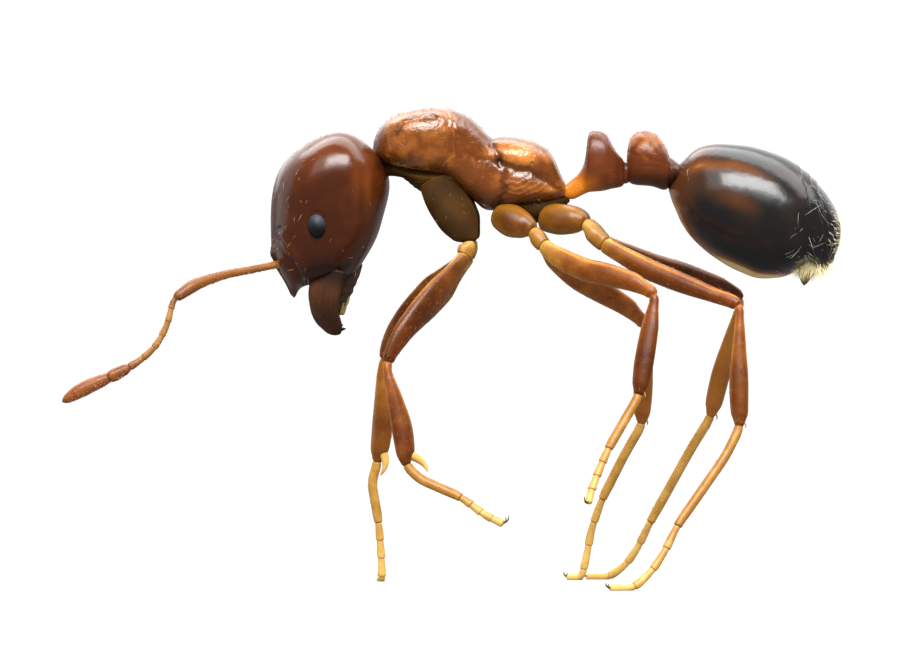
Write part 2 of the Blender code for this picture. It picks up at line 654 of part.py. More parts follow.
def build_leg(name, points, body_rooms):
    """One leg, modelled whole along its route and parted at its joints."""
    route = Route(points)
    hip, knee, ankle = Vector(points[1]), Vector(points[3]), Vector(points[4])
    plane = (knee - hip).cross(ankle - knee).normalized()
    table = leg_table(name.split("_")[0], len(points) - 1)
    for part, first, last, rings in LEG_PARTS:
        sides = TARSUS_SIDES if part == "basitarsus" else LEG_SIDES
        body = limb(route, table, first, last, rings, sides, plane)
        kind = "foot" if part in ("trochanter", "basitarsus") else "leg"
        piece = finish("leg_" + name + "_" + part, body, kind)
        if part == "coxa":
            make_room(piece, body_rooms)
    finish("leg_" + name + "_toes", toes_body(route, table, plane), "foot")


def build_ant():
    head_room = build_head()
    build_feelers(head_room)
    body_rooms = build_trunk(head_room)
    build_waist_and_gaster(body_rooms[0])
    for name, points in LEG_ROUTES.items():
        build_leg(name, points, body_rooms)


build_ant()
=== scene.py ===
"""The looks of a fire ant worker at life size: cuticle, eyes, jaws, hairs and a soft studio.

Lengths are in millimetres until joined() turns a finished mesh into metres; the lights and the
camera are in metres. The frame is the CAD's: +X toward the tail, +Y to the ant's right, +Z up,
the floor at z = 0. Pushes and reaches in a skin's own function are millimetres on its surface.
"""
import math

import bmesh
import bpy
import numpy as np
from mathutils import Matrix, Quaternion, Vector


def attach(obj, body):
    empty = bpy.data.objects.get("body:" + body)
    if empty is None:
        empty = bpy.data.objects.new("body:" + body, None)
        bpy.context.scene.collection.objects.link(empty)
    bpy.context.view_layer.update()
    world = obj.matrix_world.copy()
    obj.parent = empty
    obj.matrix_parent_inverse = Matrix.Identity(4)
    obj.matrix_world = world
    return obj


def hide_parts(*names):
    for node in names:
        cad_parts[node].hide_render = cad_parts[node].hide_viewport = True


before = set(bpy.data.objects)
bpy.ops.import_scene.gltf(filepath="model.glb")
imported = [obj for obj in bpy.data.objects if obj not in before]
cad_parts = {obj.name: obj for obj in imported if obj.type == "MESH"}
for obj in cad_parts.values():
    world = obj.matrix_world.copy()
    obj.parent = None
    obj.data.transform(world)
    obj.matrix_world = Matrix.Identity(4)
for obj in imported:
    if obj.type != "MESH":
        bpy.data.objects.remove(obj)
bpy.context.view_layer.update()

MM = 0.001                                  # metres in a millimetre
SIDES = {"left": -1, "right": 1}            # the way each side lies along Y
CORNER, CORNER_STEPS = 0.09, 12             # how far a route's corners are rounded, in how many steps
TANGENT_REACH = 0.02                        # half the stretch over which a route's direction is read
# rings of each skin, and points on a ring
DETAIL = {
    "head": (230, 240), "eye": (130, 180), "jaw": (110, 110), "chin": (80, 70), "palp": (14, 14),
    "scape": (90, 36), "bead": (34, 30), "club": (60, 30), "trunk": (260, 200), "neck": (120, 100),
    "belly": (70, 60), "petiole": (240, 130), "postpetiole": (150, 140), "gaster": (300, 200),
    "sting": (70, 50), "tuft": (30, 30), "trochanter": (44, 44), "heel": (110, 36), "toe": (34, 30),
}
# first and last place, and rings, of hip, thigh and shin
LEG_JOINTS = ((0, 1, 90), (2, 3, 110), (3, 4, 100))
LEG_SIDES = 56

MOUTH = np.array((-1.155, 0, 2.535))
HEAD_LEAN = math.radians(10)
# along the head's axis: half width, reach to the face, reach to the throat
HEAD_KEYS = [
    (-0.150, 0.000, 0.158, -0.158),
    (-0.146, 0.025, 0.165, -0.140), (-0.100, 0.100, 0.190, -0.128), (-0.045, 0.200, 0.225, -0.105),
    (0.000, 0.300, 0.262, -0.020), (0.030, 0.345, 0.290, 0.120), (0.060, 0.380, 0.325, 0.240),
    (0.110, 0.425, 0.372, 0.320), (0.200, 0.470, 0.402, 0.350), (0.330, 0.515, 0.430, 0.405),
    (0.500, 0.562, 0.462, 0.457), (0.680, 0.600, 0.482, 0.474), (0.850, 0.622, 0.468, 0.488),
    (0.970, 0.615, 0.420, 0.470), (1.080, 0.580, 0.338, 0.412), (1.165, 0.525, 0.255, 0.335),
    (1.225, 0.455, 0.180, 0.260), (1.270, 0.360, 0.105, 0.185), (1.298, 0.220, 0.030, 0.100),
    (1.306, 0.000, -0.030, 0.030),
]
NOTCH_DEPTH, NOTCH_HALF_WIDTH, NOTCH_START = 0.06, 0.15, 0.95      # the dip in the crown
EYE_PLACE = (-1.128, 0.50, 3.030)
EYE_RADII = (0.082, 0.112, 0.114)
LENS_PITCH, LENS_RISE = 0.0125, 0.0014      # one lens of the eye
# on the face, as distance from the middle and height
FEELER_LOBE, FEELER_PIT = (0.085, 2.785), (0.150, 2.720)
# a route's points; then half thickness and half breadth at places u along it
JAW_ROUTE = [(-1.02, 0.30, 2.68), (-1.08, 0.30, 2.42), (-1.07, 0.19, 2.27), (-0.99, 0.08, 2.15),
             (-0.94, 0.03, 2.11)]
JAW_KEYS = [(0, 0.07, 0.16), (1, 0.065, 0.145), (2, 0.055, 0.125), (3, 0.04, 0.08), (4, 0.015, 0.02)]
JAW_TEETH = [(2.1, 0.030), (2.8, 0.034), (3.5, 0.045)]      # place u and length
CHIN_ROUTE = [(-0.882, 0, 2.73), (-0.905, 0, 2.50), (-0.955, 0, 2.37), (-0.985, 0, 2.26)]
CHIN_KEYS = [(0, 0.17, 0.14), (0.5, 0.17, 0.12), (1, 0.15, 0.085), (2, 0.11, 0.07), (2.7, 0.09, 0.055),
             (3, 0.03, 0.02)]
PALPS = ((0.0, 0.070), (0.05, 0.035))       # reach back, and distance from the middle
# place u and half thickness
PALP_KEYS = [(0, 0.010), (0.7, 0.016), (1, 0.012)]
FEELER_ROUTES = {
    "left": [(-1.418, -0.120, 2.704), (-1.685, -0.230, 2.651), (-1.894, -0.330, 2.614),
             (-2.060, -0.420, 2.565), (-2.185, -0.480, 2.512), (-2.326, -0.550, 2.407),
             (-2.352, -0.560, 2.324), (-2.376, -0.570, 2.215), (-2.427, -0.580, 2.098),
             (-2.493, -0.590, 1.998), (-2.586, -0.590, 1.914), (-2.677, -0.600, 1.852),
             (-2.777, -0.600, 1.798), (-2.874, -0.600, 1.751), (-3.095, -0.590, 1.655),
             (-3.263, -0.580, 1.546)],
    "right": [(-1.420, 0.120, 2.702), (-1.691, 0.230, 2.646), (-1.902, 0.330, 2.607),
              (-2.072, 0.420, 2.556), (-2.200, 0.480, 2.501), (-2.344, 0.550, 2.394),
              (-2.370, 0.560, 2.309), (-2.395, 0.570, 2.199), (-2.446, 0.580, 2.082),
              (-2.513, 0.590, 1.980), (-2.607, 0.590, 1.896), (-2.700, 0.600, 1.832),
              (-2.795, 0.600, 1.779), (-2.885, 0.600, 1.735), (-3.100, 0.590, 1.642),
              (-3.266, 0.580, 1.538)],
}
# place u and half thickness
FEELER_KEYS = [(0, 0.036), (0.3, 0.031), (1, 0.032), (2, 0.036), (3, 0.044), (4, 0.052), (4.7, 0.045),
               (5, 0.027), (5.4, 0.025), (7, 0.027), (10, 0.029), (11, 0.032), (11.7, 0.047),
               (12.5, 0.052), (13, 0.049), (13.4, 0.056), (14, 0.060), (14.6, 0.045), (14.9, 0.024),
               (15, 0.006)]
FEELER_JOINTS = [5, 6, 7, 8, 9, 10, 11.2, 13, 15]
FEELER_CLUB = 11.2                          # where the club starts
# along X: half width, top, bottom
TRUNK_KEYS = [
    (-0.668, 0.00, 3.650, 3.650),
    (-0.655, 0.10, 3.730, 3.594), (-0.625, 0.20, 3.812, 3.564), (-0.563, 0.29, 3.885, 3.539),
    (-0.480, 0.36, 3.944, 3.518), (-0.390, 0.405, 3.978, 3.498), (-0.277, 0.425, 4.000, 3.476),
    (-0.126, 0.41, 4.008, 3.450), (-0.008, 0.375, 3.996, 3.400), (0.118, 0.335, 3.948, 3.300),
    (0.227, 0.31, 3.864, 3.187), (0.294, 0.29, 3.788, 3.138), (0.336, 0.28, 3.752, 3.145),
    (0.386, 0.285, 3.765, 3.155), (0.470, 0.30, 3.766, 3.165), (0.580, 0.305, 3.750, 3.182),
    (0.706, 0.29, 3.715, 3.195), (0.806, 0.245, 3.654, 3.207), (0.865, 0.20, 3.568, 3.224),
    (0.907, 0.15, 3.459, 3.241), (0.949, 0.08, 3.375, 3.264), (0.960, 0.00, 3.32, 3.32),
]
NECK_KEYS = [
    (-0.700, 0.00, 3.499, 3.499), (-0.690, 0.05, 3.534, 3.464), (-0.596, 0.09, 3.560, 3.426),
    (-0.496, 0.13, 3.577, 3.430), (-0.412, 0.17, 3.560, 3.428), (-0.340, 0.22, 3.543, 3.355),
    (-0.244, 0.25, 3.526, 3.292), (-0.092, 0.26, 3.510, 3.300), (0.042, 0.24, 3.493, 3.314),
    (0.126, 0.20, 3.476, 3.334), (0.14, 0.00, 3.40, 3.40),
]
BELLY_KEYS = [
    (0.30, 0.00, 3.22, 3.22), (0.34, 0.10, 3.26, 3.17), (0.45, 0.17, 3.28, 3.13),
    (0.60, 0.18, 3.28, 3.08), (0.69, 0.20, 3.28, 3.03), (0.77, 0.19, 3.28, 3.06),
    (0.90, 0.12, 3.28, 3.15), (0.97, 0.05, 3.27, 3.20), (0.99, 0.00, 3.23, 3.23),
]
PETIOLE_KEYS = [
    (0.880, 0.000, 3.29, 3.29),
    (0.900, 0.050, 3.334, 3.254), (0.966, 0.055, 3.375, 3.241), (1.016, 0.060, 3.417, 3.241),
    (1.067, 0.075, 3.463, 3.262), (1.109, 0.100, 3.540, 3.283), (1.128, 0.140, 3.640, 3.291),
    (1.136, 0.165, 3.745, 3.295), (1.150, 0.180, 3.803, 3.300), (1.195, 0.190, 3.816, 3.304),
    (1.252, 0.195, 3.808, 3.308), (1.294, 0.190, 3.787, 3.316), (1.327, 0.175, 3.736, 3.325),
    (1.369, 0.150, 3.660, 3.333), (1.411, 0.115, 3.605, 3.342), (1.462, 0.090, 3.555, 3.367),
    (1.484, 0.080, 3.530, 3.384), (1.50, 0.000, 3.44, 3.44),
]
POSTPETIOLE_KEYS = [
    (1.466, 0.000, 3.530, 3.530),
    (1.472, 0.100, 3.650, 3.409), (1.486, 0.150, 3.715, 3.384), (1.515, 0.190, 3.775, 3.367),
    (1.560, 0.220, 3.806, 3.358), (1.625, 0.235, 3.818, 3.354), (1.688, 0.230, 3.800, 3.346),
    (1.739, 0.215, 3.762, 3.329), (1.781, 0.195, 3.703, 3.316), (1.823, 0.170, 3.627, 3.334),
    (1.865, 0.140, 3.569, 3.364), (1.920, 0.110, 3.524, 3.404), (1.935, 0.000, 3.464, 3.464),
]
# along the gaster's axis: half width, reach up, reach down
GASTER_START = np.array((1.823, 0, 3.434))
GASTER_AIM = np.array((0.918, 0, -0.397))
GASTER_KEYS = [
    (0.015, 0.000, 0.000, 0.000),
    (0.030, 0.060, 0.100, 0.090), (0.062, 0.110, 0.175, 0.130), (0.100, 0.170, 0.275, 0.178),
    (0.167, 0.250, 0.350, 0.240), (0.250, 0.325, 0.403, 0.320), (0.370, 0.400, 0.453, 0.395),
    (0.490, 0.445, 0.492, 0.442), (0.630, 0.475, 0.520, 0.478), (0.820, 0.490, 0.532, 0.502),
    (0.990, 0.485, 0.510, 0.500), (1.120, 0.460, 0.473, 0.452), (1.230, 0.420, 0.418, 0.390),
    (1.330, 0.365, 0.355, 0.335), (1.410, 0.300, 0.290, 0.300), (1.480, 0.225, 0.205, 0.270),
    (1.525, 0.140, 0.110, 0.245), (1.550, 0.060, 0.000, 0.220), (1.556, 0.000, -0.11, 0.11),
]
GASTER_SEAMS, SEAM_SLANT = [1.36, 1.44, 1.50], 0.76
# on the gaster's flank, along its axis and up from it: painted glow of light through the shell, as a reddish
# arch and a patch under it
PAINTED_GLOW_ARCH_LINE = [(0.07, 0.075), (0.205, 0.190), (0.436, 0.295), (0.61, 0.318), (0.80, 0.31)]
PAINTED_GLOW_PATCH = (0.56, 0.045, 0.20, 0.075)
# along X: half width, top, bottom of the root of the rear tuft
TUFT_KEYS = [(2.85, 0.0, 2.77, 2.77), (2.88, 0.07, 2.81, 2.735), (2.97, 0.10, 2.82, 2.710),
             (3.06, 0.09, 2.82, 2.690), (3.12, 0.05, 2.81, 2.700), (3.14, 0.0, 2.75, 2.75)]
STING_ROUTE = [(3.00, 0, 2.794), (2.98, 0, 2.674), (2.955, 0, 2.514)]
STING_KEYS = [(0, 0.10), (1, 0.09), (1.5, 0.055), (1.9, 0.02), (2, 0.006)]
FOOT_HEIGHT = 0.018                         # of the middle of a foot that stands
LEG_ROUTES = {
    "fore_left": [(-0.10, -0.15, 3.42), (0.15, -0.27, 2.88), (0.11, -0.31, 2.76), (-0.55, -0.80, 1.89),
                  (-0.38, -0.90, 1.02), (-0.27, -0.92, 0.91), (0.08, -1.00, 0.76), (0.28, -1.06, 0.61),
                  (0.43, -1.10, 0.54)],
    "fore_right": [(-0.08, 0.15, 3.42), (0.17, 0.27, 2.89), (0.14, 0.31, 2.75), (-0.58, 0.80, 1.89),
                   (-0.63, 0.90, 1.01), (-0.68, 0.92, 0.84), (-0.62, 0.95, 0.50), (-0.60, 0.98, 0.24),
                   (-0.59, 1.01, FOOT_HEIGHT), (-0.61, 1.15, FOOT_HEIGHT)],
    "mid_left": [(0.37, -0.12, 3.14), (0.68, -0.34, 2.98), (0.76, -0.40, 2.85), (1.70, -1.00, 2.46),
                 (1.56, -1.15, 1.61), (1.44, -1.22, 1.41), (1.30, -1.32, 1.17), (1.21, -1.40, 0.96),
                 (1.16, -1.46, 0.83), (1.13, -1.52, 0.72)],
    "mid_right": [(0.37, 0.12, 3.14), (0.69, 0.34, 2.98), (0.78, 0.40, 2.84), (1.64, 1.00, 2.18),
                  (1.61, 1.12, 1.33), (1.46, 1.18, 1.07), (1.27, 1.28, 0.69), (1.18, 1.36, 0.43),
                  (1.14, 1.41, 0.20), (1.10, 1.45, FOOT_HEIGHT), (0.98, 1.53, FOOT_HEIGHT)],
    "hind_left": [(0.75, -0.12, 3.10), (1.12, -0.34, 3.05), (1.28, -0.42, 2.87), (2.40, -1.05, 2.37),
                  (2.40, -1.20, 1.35), (2.28, -1.28, 1.11), (1.87, -1.48, 0.53), (1.78, -1.54, 0.34),
                  (1.67, -1.60, 0.17), (1.51, -1.65, FOOT_HEIGHT), (1.31, -1.70, FOOT_HEIGHT)],
    "hind_right": [(0.77, 0.12, 3.10), (1.15, 0.34, 3.05), (1.29, 0.42, 2.88), (2.45, 1.05, 2.40),
                   (2.19, 1.20, 1.39), (2.02, 1.28, 1.11), (1.68, 1.48, 0.49), (1.58, 1.54, 0.28),
                   (1.48, 1.60, 0.13), (1.33, 1.65, FOOT_HEIGHT), (1.14, 1.70, FOOT_HEIGHT)],
}
# share of a joint: half thickness from the front, reach to each side of the route
COXA_KEYS = {
    "fore": [(0, 0.125, 0.20, 0.165), (0.30, 0.125, 0.220, 0.175), (0.65, 0.115, 0.195, 0.168),
             (0.88, 0.085, 0.130, 0.112), (0.98, 0.055, 0.085, 0.075)],
    "mid": [(0, 0.06, 0.07, 0.09), (0.15, 0.09, 0.105, 0.130), (0.45, 0.11, 0.128, 0.148),
            (0.75, 0.095, 0.11, 0.115), (0.93, 0.06, 0.075, 0.075)],
    "hind": [(0, 0.06, 0.07, 0.10), (0.12, 0.09, 0.100, 0.125), (0.40, 0.11, 0.125, 0.137),
             (0.72, 0.10, 0.115, 0.115), (0.92, 0.065, 0.08, 0.08)],
}
FEMUR_KEYS = {
    "fore": [(0.15, 0.052, 0.095, 0.072), (0.35, 0.068, 0.146, 0.115), (0.55, 0.074, 0.164, 0.100),
             (0.75, 0.068, 0.154, 0.054), (0.90, 0.055, 0.106, 0.050)],
    "mid": [(0.12, 0.055, 0.052, 0.118), (0.35, 0.070, 0.050, 0.142), (0.60, 0.075, 0.088, 0.106),
            (0.80, 0.066, 0.098, 0.066), (0.92, 0.050, 0.065, 0.055)],
    "hind": [(0.12, 0.060, 0.058, 0.100), (0.35, 0.072, 0.068, 0.135), (0.60, 0.078, 0.098, 0.118),
             (0.80, 0.066, 0.100, 0.085), (0.93, 0.050, 0.075, 0.065)],
}
TIBIA_KEYS = {
    "fore": [(0.10, 0.042, 0.050, 0.038), (0.35, 0.060, 0.055, 0.082), (0.65, 0.070, 0.065, 0.118),
             (0.87, 0.065, 0.068, 0.098), (0.97, 0.038, 0.045, 0.045)],
    "mid": [(0.10, 0.038, 0.048, 0.055), (0.35, 0.052, 0.076, 0.082), (0.65, 0.060, 0.082, 0.092),
            (0.88, 0.055, 0.070, 0.078), (0.97, 0.036, 0.045, 0.050)],
    "hind": [(0.10, 0.038, 0.040, 0.040), (0.35, 0.054, 0.054, 0.066), (0.65, 0.066, 0.074, 0.092),
             (0.88, 0.060, 0.072, 0.080), (0.97, 0.036, 0.045, 0.048)],
}
TROCHANTER_REACH = {"fore": (0.086, 0.064), "mid": (0.066, 0.070), "hind": (0.060, 0.090)}
HIP_HALF, KNEE_HALF, ANKLE_HALF, TARSUS_HALF, TOE_HALF = 0.052, 0.056, 0.043, 0.040, 0.033
# share of a thigh, and what its upper reach is multiplied by there
FEMUR_TRIM = {"hind_left": [(0, 1.0), (0.25, 0.7), (0.5, 0.5), (0.8, 0.45), (1, 0.9)],
              "fore_right": [(0, 1.0), (0.2, 1.3), (0.4, 1.2), (0.7, 1.05), (1, 1.0)]}
FEMUR_TWIST = {"fore": math.radians(-35), "mid": math.radians(15), "hind": math.radians(10)}
# the right legs are the far ones: their lighter shins are partly painted light that lifts the shade they
# stand in
LEG_TINTS = {                                # hip, thigh and shin
    "fore_left": (-0.7, -0.55, 0.05), "fore_right": (-0.7, 0.0, 0.5), "mid_left": (0.2, 0.12, -0.25),
    "mid_right": (0.3, 0.0, 0.6), "hind_left": (0.4, -0.25, 0.15), "hind_right": (0.5, -0.6, 1.8),
}
# painted rim light: the light tint that hip, thigh and shin gain at their edges as seen from the side, and
# on their upper and lower faces
PAINTED_RIM_LIGHT = {"fore": (0.3, 0.4, 0.6), "mid": (1.2, 0.4, 0.7), "hind": (1.2, 0.4, 0.7)}
TOE_JOINTS, TOES_START = 4, 6                # short foot joints, and the place where they start
LIMB_FLATNESS = 0.85                        # a limb is this much thinner from the front
# painted light: the far feet are tinted lighter to lift the shade they stand in
FAR_FOOT_PAINTED_LIGHT = 0.2
CLAW_THICK = 0.009
FORE_SPUR, SPUR = (0.20, 0.042, 0.5), (0.05, 0.006, -0.2)      # length, thickness and tint
# share of a joint and its swelling there
BEAD_SWELL = [(0, 0.86), (0.15, 0.90), (0.8, 1.08), (1, 1.0)]
CLUB_SWELL = [(0, 0.82), (0.2, 0.98), (0.8, 1.03), (1, 1.0)]
HEEL_SWELL = [(0, 0.9), (0.1, 1.0), (0.92, 1.04), (1, 1.14)]
SHIN_SWELL = [(0, 0.62), (0.06, 0.78), (0.18, 1.0), (1, 1.0)]
TOE_SWELL = [(0, 0.86), (0.2, 0.90), (0.85, 1.10), (1, 1.06)]

# lines drawn on a flank, as (x, z)
SCROBE = [(-1.428, 2.94), (-1.37, 2.85), (-1.30, 2.76), (-1.235, 2.646), (-1.22, 2.60)]
JAW_RIM = [(-1.24, 2.62), (-1.17, 2.655), (-1.06, 2.675), (-0.95, 2.66), (-0.88, 2.70)]
SHOULDER_LINE = [(-0.034, 4.03), (-0.02, 3.90), (0.0, 3.839), (0.025, 3.738), (0.017, 3.637),
                 (-0.025, 3.553), (-0.101, 3.478)]
SHOULDER_FOLD = [(-0.470, 3.80), (-0.400, 3.885), (-0.336, 3.930), (-0.250, 3.950), (-0.150, 3.945)]
SHOULDER_LOBE = [(-0.110, 3.950), (0.000, 3.905), (0.085, 3.822)]
SHOULDER_HEM = [(-0.101, 3.478), (-0.21, 3.478), (-0.353, 3.50), (-0.47, 3.545), (-0.554, 3.604)]
SADDLE_LINE = [(0.322, 3.80), (0.345, 3.70), (0.375, 3.62), (0.395, 3.57)]
SADDLE_TROUGH = [(0.395, 3.57), (0.470, 3.511), (0.571, 3.494), (0.680, 3.461), (0.781, 3.402),
                 (0.848, 3.352)]
FLANK_LINE = [(0.395, 3.57), (0.428, 3.503), (0.437, 3.402), (0.428, 3.301), (0.386, 3.15)]
WING_LINE = [(0.04, 3.60), (0.13, 3.62), (0.22, 3.59), (0.319, 3.56), (0.395, 3.57)]
NECK_LINE = [(-0.50, 3.50), (-0.35, 3.44), (-0.20, 3.42), (-0.05, 3.42), (0.10, 3.43)]
# round places on a flank, as (x, z) or as (x, z, reach along, reach up)
NAPE, SPIRACLE, STALK_SPIRACLE = (-0.60, 3.52), (0.670, 3.545), (1.05, 3.36)
MUSCLE_PATCH, VENT = (-0.72, 3.33, 0.11, 0.20), (3.01, 2.58, 0.13, 0.14)
MOUNDS = {"front": (0.20, 3.37, 0.15, 0.14), "rear": (0.64, 3.35, 0.20, 0.085),
          "upper": (0.56, 3.62, 0.16, 0.08), "gland": (0.835, 3.315, 0.05, 0.035),
          "ridged": (0.60, 3.35, 0.22, 0.12), "knot": (1.66, 3.52, 0.09, 0.09)}

# how far along a ramp the tones of a shell lie, for three tones and for four
TONE_PLACES = {3: (0.1, 0.5, 0.9), 4: (0.1, 0.5, 0.75, 0.98)}
TINT_GAIN = 0.4                             # ramp lengths to one tint
NOISE_LOW, NOISE_HIGH = 0.3, 0.7            # between which nearly all of a noise lies
CELL_DEPTH, DIMPLE_DEPTH, GLOW_DEPTH = 0.000004, 0.00002, 0.00006      # metres
# bristles to a square millimetre, length, thickness, lean, ruffle, bow, seed
COATS = {
    "head": (40, 0.060, 0.0038, 0.9, 0.6, 0.6, 3),
    "feeler": (1300, 0.026, 0.0026, 1.0, 0.25, 0.2, 5),
    "trunk": (60, 0.070, 0.0036, 0.8, 0.5, 0.5, 7),
    "waist": (260, 0.060, 0.0042, 0.7, 0.5, 0.5, 9),
    "gaster": (240, 0.10, 0.0020, 1.1, 0.9, 1.2, 11),
    "tuft": (14000, 0.165, 0.009, 0.25, 0.35, 0.1, 13),
    "fringe": (900, 0.050, 0.0038, 0.8, 0.5, 0.4, 15),
    "leg": (600, 0.034, 0.0026, 1.0, 0.3, 0.3, 17),
}
SHORTEST, LONGEST = 0.5, 1.15               # share of a coat's length
BRISTLE_SIDES = BRISTLE_STEPS = 4
BAKE_PATCH = 0.003                          # share of the unwrap that one bristle takes

# elevation and swing in degrees, width and depth in metres, glare
SOFTBOXES = [
    ("softbox_over", 46, 2, 0.082, 0.038, 25), ("softbox_halo", 46, -12, 0.130, 0.066, 3.4),
    ("softbox_side", 155, -62, 0.060, 0.090, 1.0), ("softbox_crown", 110, 10, 0.220, 0.060, 7.0),
    ("softbox_back", 152, 8, 0.190, 0.072, 1.6),
]
LIGHT_MIDDLE, LIGHT_DISTANCE = (0, 0, 0.003), 0.09      # metres
ROOM_SHINE, ROOM_SHINE_IN_GLOSS = 1.08, 0.30
FLOOR_RADIUS, FLOOR_SIDES = 9, 96           # millimetres, and corners
PAINT_MOTTLE = 400.0                        # to a metre, 2.5 mm each
LENS, SENSOR_WIDTH = 698.8, 36              # millimetres
# metres
CAMERA_PLACE, CAMERA_TARGET = (0.0000672, -0.149985, 0.004278), (0.0000672, 0, 0.002184)


# ---------------------------------------------------------------- curves and skins
def read_table(table, places):
    """Every column of a table at some places, on curves that never pass a key."""
    rows = np.array(table, float)
    x, y = rows[:, 0], rows[:, 1:]
    step = np.diff(x)[:, None]
    rate = np.diff(y, axis=0) / step
    before, after = rate[:-1], rate[1:]
    same = before * after > 0
    inner = np.where(same, 2 * before * after / np.where(same, before + after, 1), 0)
    slope = np.vstack([rate[:1], inner, rate[-1:]])
    places = np.clip(places, x[0], x[-1])
    i = np.clip(np.searchsorted(x, places, side="right") - 1, 0, len(x) - 2)
    t = ((places - x[i]) / (x[i + 1] - x[i]))[:, None]
    return ((2 * t**3 - 3 * t**2 + 1) * y[i] + (t**3 - 2 * t**2 + t) * step[i] * slope[i]
            + (3 * t**2 - 2 * t**3) * y[i + 1] + (t**3 - t**2) * step[i] * slope[i + 1])


def soften(values, blur, odd):
    """Even out each column by a bell of this many samples; odd columns run through zero."""
    reach = int(3 * blur)
    weights = np.exp(-0.5 * (np.arange(-reach, reach + 1) / blur)**2)
    weights /= weights.sum()
    sign = np.where(odd, -1, 1)
    head, tail = values[reach:0:-1] * sign, values[-2:-reach - 2:-1] * sign
    padded = np.vstack([head, values, tail])
    return np.stack([np.convolve(padded[:, c], weights, "valid") for c in range(values.shape[1])], 1)


class Route:
    """A way through points in space, with rounded corners; places on it are told as u."""

    def __init__(self, points):
        points = [Vector(p) for p in points]
        self.dots = [points[0]]
        marks = [0]
        for before, here, after in zip(points, points[1:], points[2:]):
            reach = min(CORNER, 0.45 * (here - before).length, 0.45 * (after - here).length)
            start = here + (before - here).normalized() * reach
            end = here + (after - here).normalized() * reach
            for step in range(CORNER_STEPS + 1):
                t = step / CORNER_STEPS
                self.dots.append(start * (1 - t)**2 + here * 2 * t * (1 - t) + end * t**2)
            marks.append(len(self.dots) - 1 - CORNER_STEPS // 2)
        self.dots.append(points[-1])
        marks.append(len(self.dots) - 1)
        self.lengths = [0.0]
        for a, b in zip(self.dots, self.dots[1:]):
            self.lengths.append(self.lengths[-1] + (b - a).length)
        self.marks = [self.lengths[m] for m in marks]

    def run(self, u):
        """Length of the route from its start to the place u."""
        i = min(int(u), len(self.marks) - 2)
        return self.marks[i] + (u - i) * (self.marks[i + 1] - self.marks[i])

    def place(self, run):
        """The place u that lies this far along the route."""
        return float(np.interp(run, self.marks, range(len(self.marks))))

    def point(self, run):
        """The point this far along, carried straight on past either end."""
        i = 0
        while i < len(self.lengths) - 2 and self.lengths[i + 1] < run:
            i += 1
        a, b = self.dots[i], self.dots[i + 1]
        return a + (b - a).normalized() * (run - self.lengths[i])

    def aim(self, run):
        """The direction of the route this far along."""
        return (self.point(run + TANGENT_REACH) - self.point(run - TANGENT_REACH)).normalized()


def unit(vectors):
    """The same directions, one long."""
    return vectors / np.maximum(np.linalg.norm(vectors, axis=-1, keepdims=True), 1e-12)


class Skin:
    """A closed skin: rings of points down a route, drawn to a point at both ends."""

    def __init__(self, centres, aims, side, halves, rises, sides, power=2.0, along=None):
        side = np.broadcast_to(np.array(side, float), centres.shape)
        side = unit(side - aims * (side * aims).sum(1, keepdims=True))
        up = np.cross(aims, side)
        angle = 2 * np.pi * np.arange(sides) / sides
        across = np.sign(np.cos(angle)) * np.abs(np.cos(angle))**(2 / power)
        rise = np.sign(np.sin(angle)) * np.abs(np.sin(angle))**(2 / power)
        self.grid = (centres[:, None] + side[:, None] * (halves[:, None] * across)[..., None]
                     + up[:, None] * (rises[:, None] * rise)[..., None])
        self.along = np.linspace(0, 1, len(centres)) if along is None else along
        self.extra, self.lie = {}, np.array((1.0, 0, -0.2))

    def xyz(self):
        """The three coordinates of the points, each as a grid."""
        return np.moveaxis(self.grid, -1, 0)

    def share(self):
        """How far down the skin each ring lies, from nought to one."""
        return np.linspace(0, 1, len(self.grid))[:, None]

    def facing(self):
        """Outward directions of the points."""
        grid = self.grid
        ahead = np.gradient(grid, axis=0)
        around = np.roll(grid, -1, 1) - np.roll(grid, 1, 1)
        out = unit(np.cross(around, ahead))
        middle = grid.mean(axis=1, keepdims=True)
        return out if ((grid - middle) * out).sum() > 0 else -out

    def push(self, height):
        """Move each point outwards by a height, which fades away at the two poles."""
        fade = np.minimum(np.arange(len(self.grid)), np.arange(len(self.grid))[::-1])
        fade = np.clip(fade / 3, 0, 1)[:, None]
        self.grid = self.grid + self.facing() * (height * fade)[..., None]

    def tell(self, **fields):
        """Keep fields on the points: tint, below nought for dark, and hairy, the share of hairs."""
        for key, field in fields.items():
            self.extra[key] = self.extra.get(key, 0) + np.broadcast_to(field, self.grid.shape[:2])
        return self


def straight(start, aim, table, rings, sides, power=2.0, blur=3.0):
    """A skin on a straight axis, from a table of half width, reach above and reach below."""
    start, aim = np.array(start, float), unit(np.array(aim, float))
    turn = np.linspace(0, np.pi, rings)
    places = table[0][0] + (table[-1][0] - table[0][0]) * (1 - np.cos(turn)) / 2
    half, above, below = read_table(table, places).T
    shape = np.stack([half, (above + below) / 2, (above - below) / 2], 1)
    half, rise, lift = soften(shape, blur, np.array([True, True, False])).T
    half, rise = np.maximum(half, 1e-4), np.maximum(rise, 1e-4)
    aims = np.broadcast_to(aim, (rings, 3))
    up = np.cross(aim, (0, 1, 0))
    centres = start + aim * places[:, None] + up * lift[:, None]
    return Skin(centres, aims, (0, 1, 0), half, rise, sides, power, places)


def barrel(table, rings, sides, power=2.0, blur=3.0):
    """A skin along X whose table gives half width, top and bottom."""
    table = [(x, half, top, -bottom) for x, half, top, bottom in table]
    return straight((0, 0, 0), (1, 0, 0), table, rings, sides, power, blur)


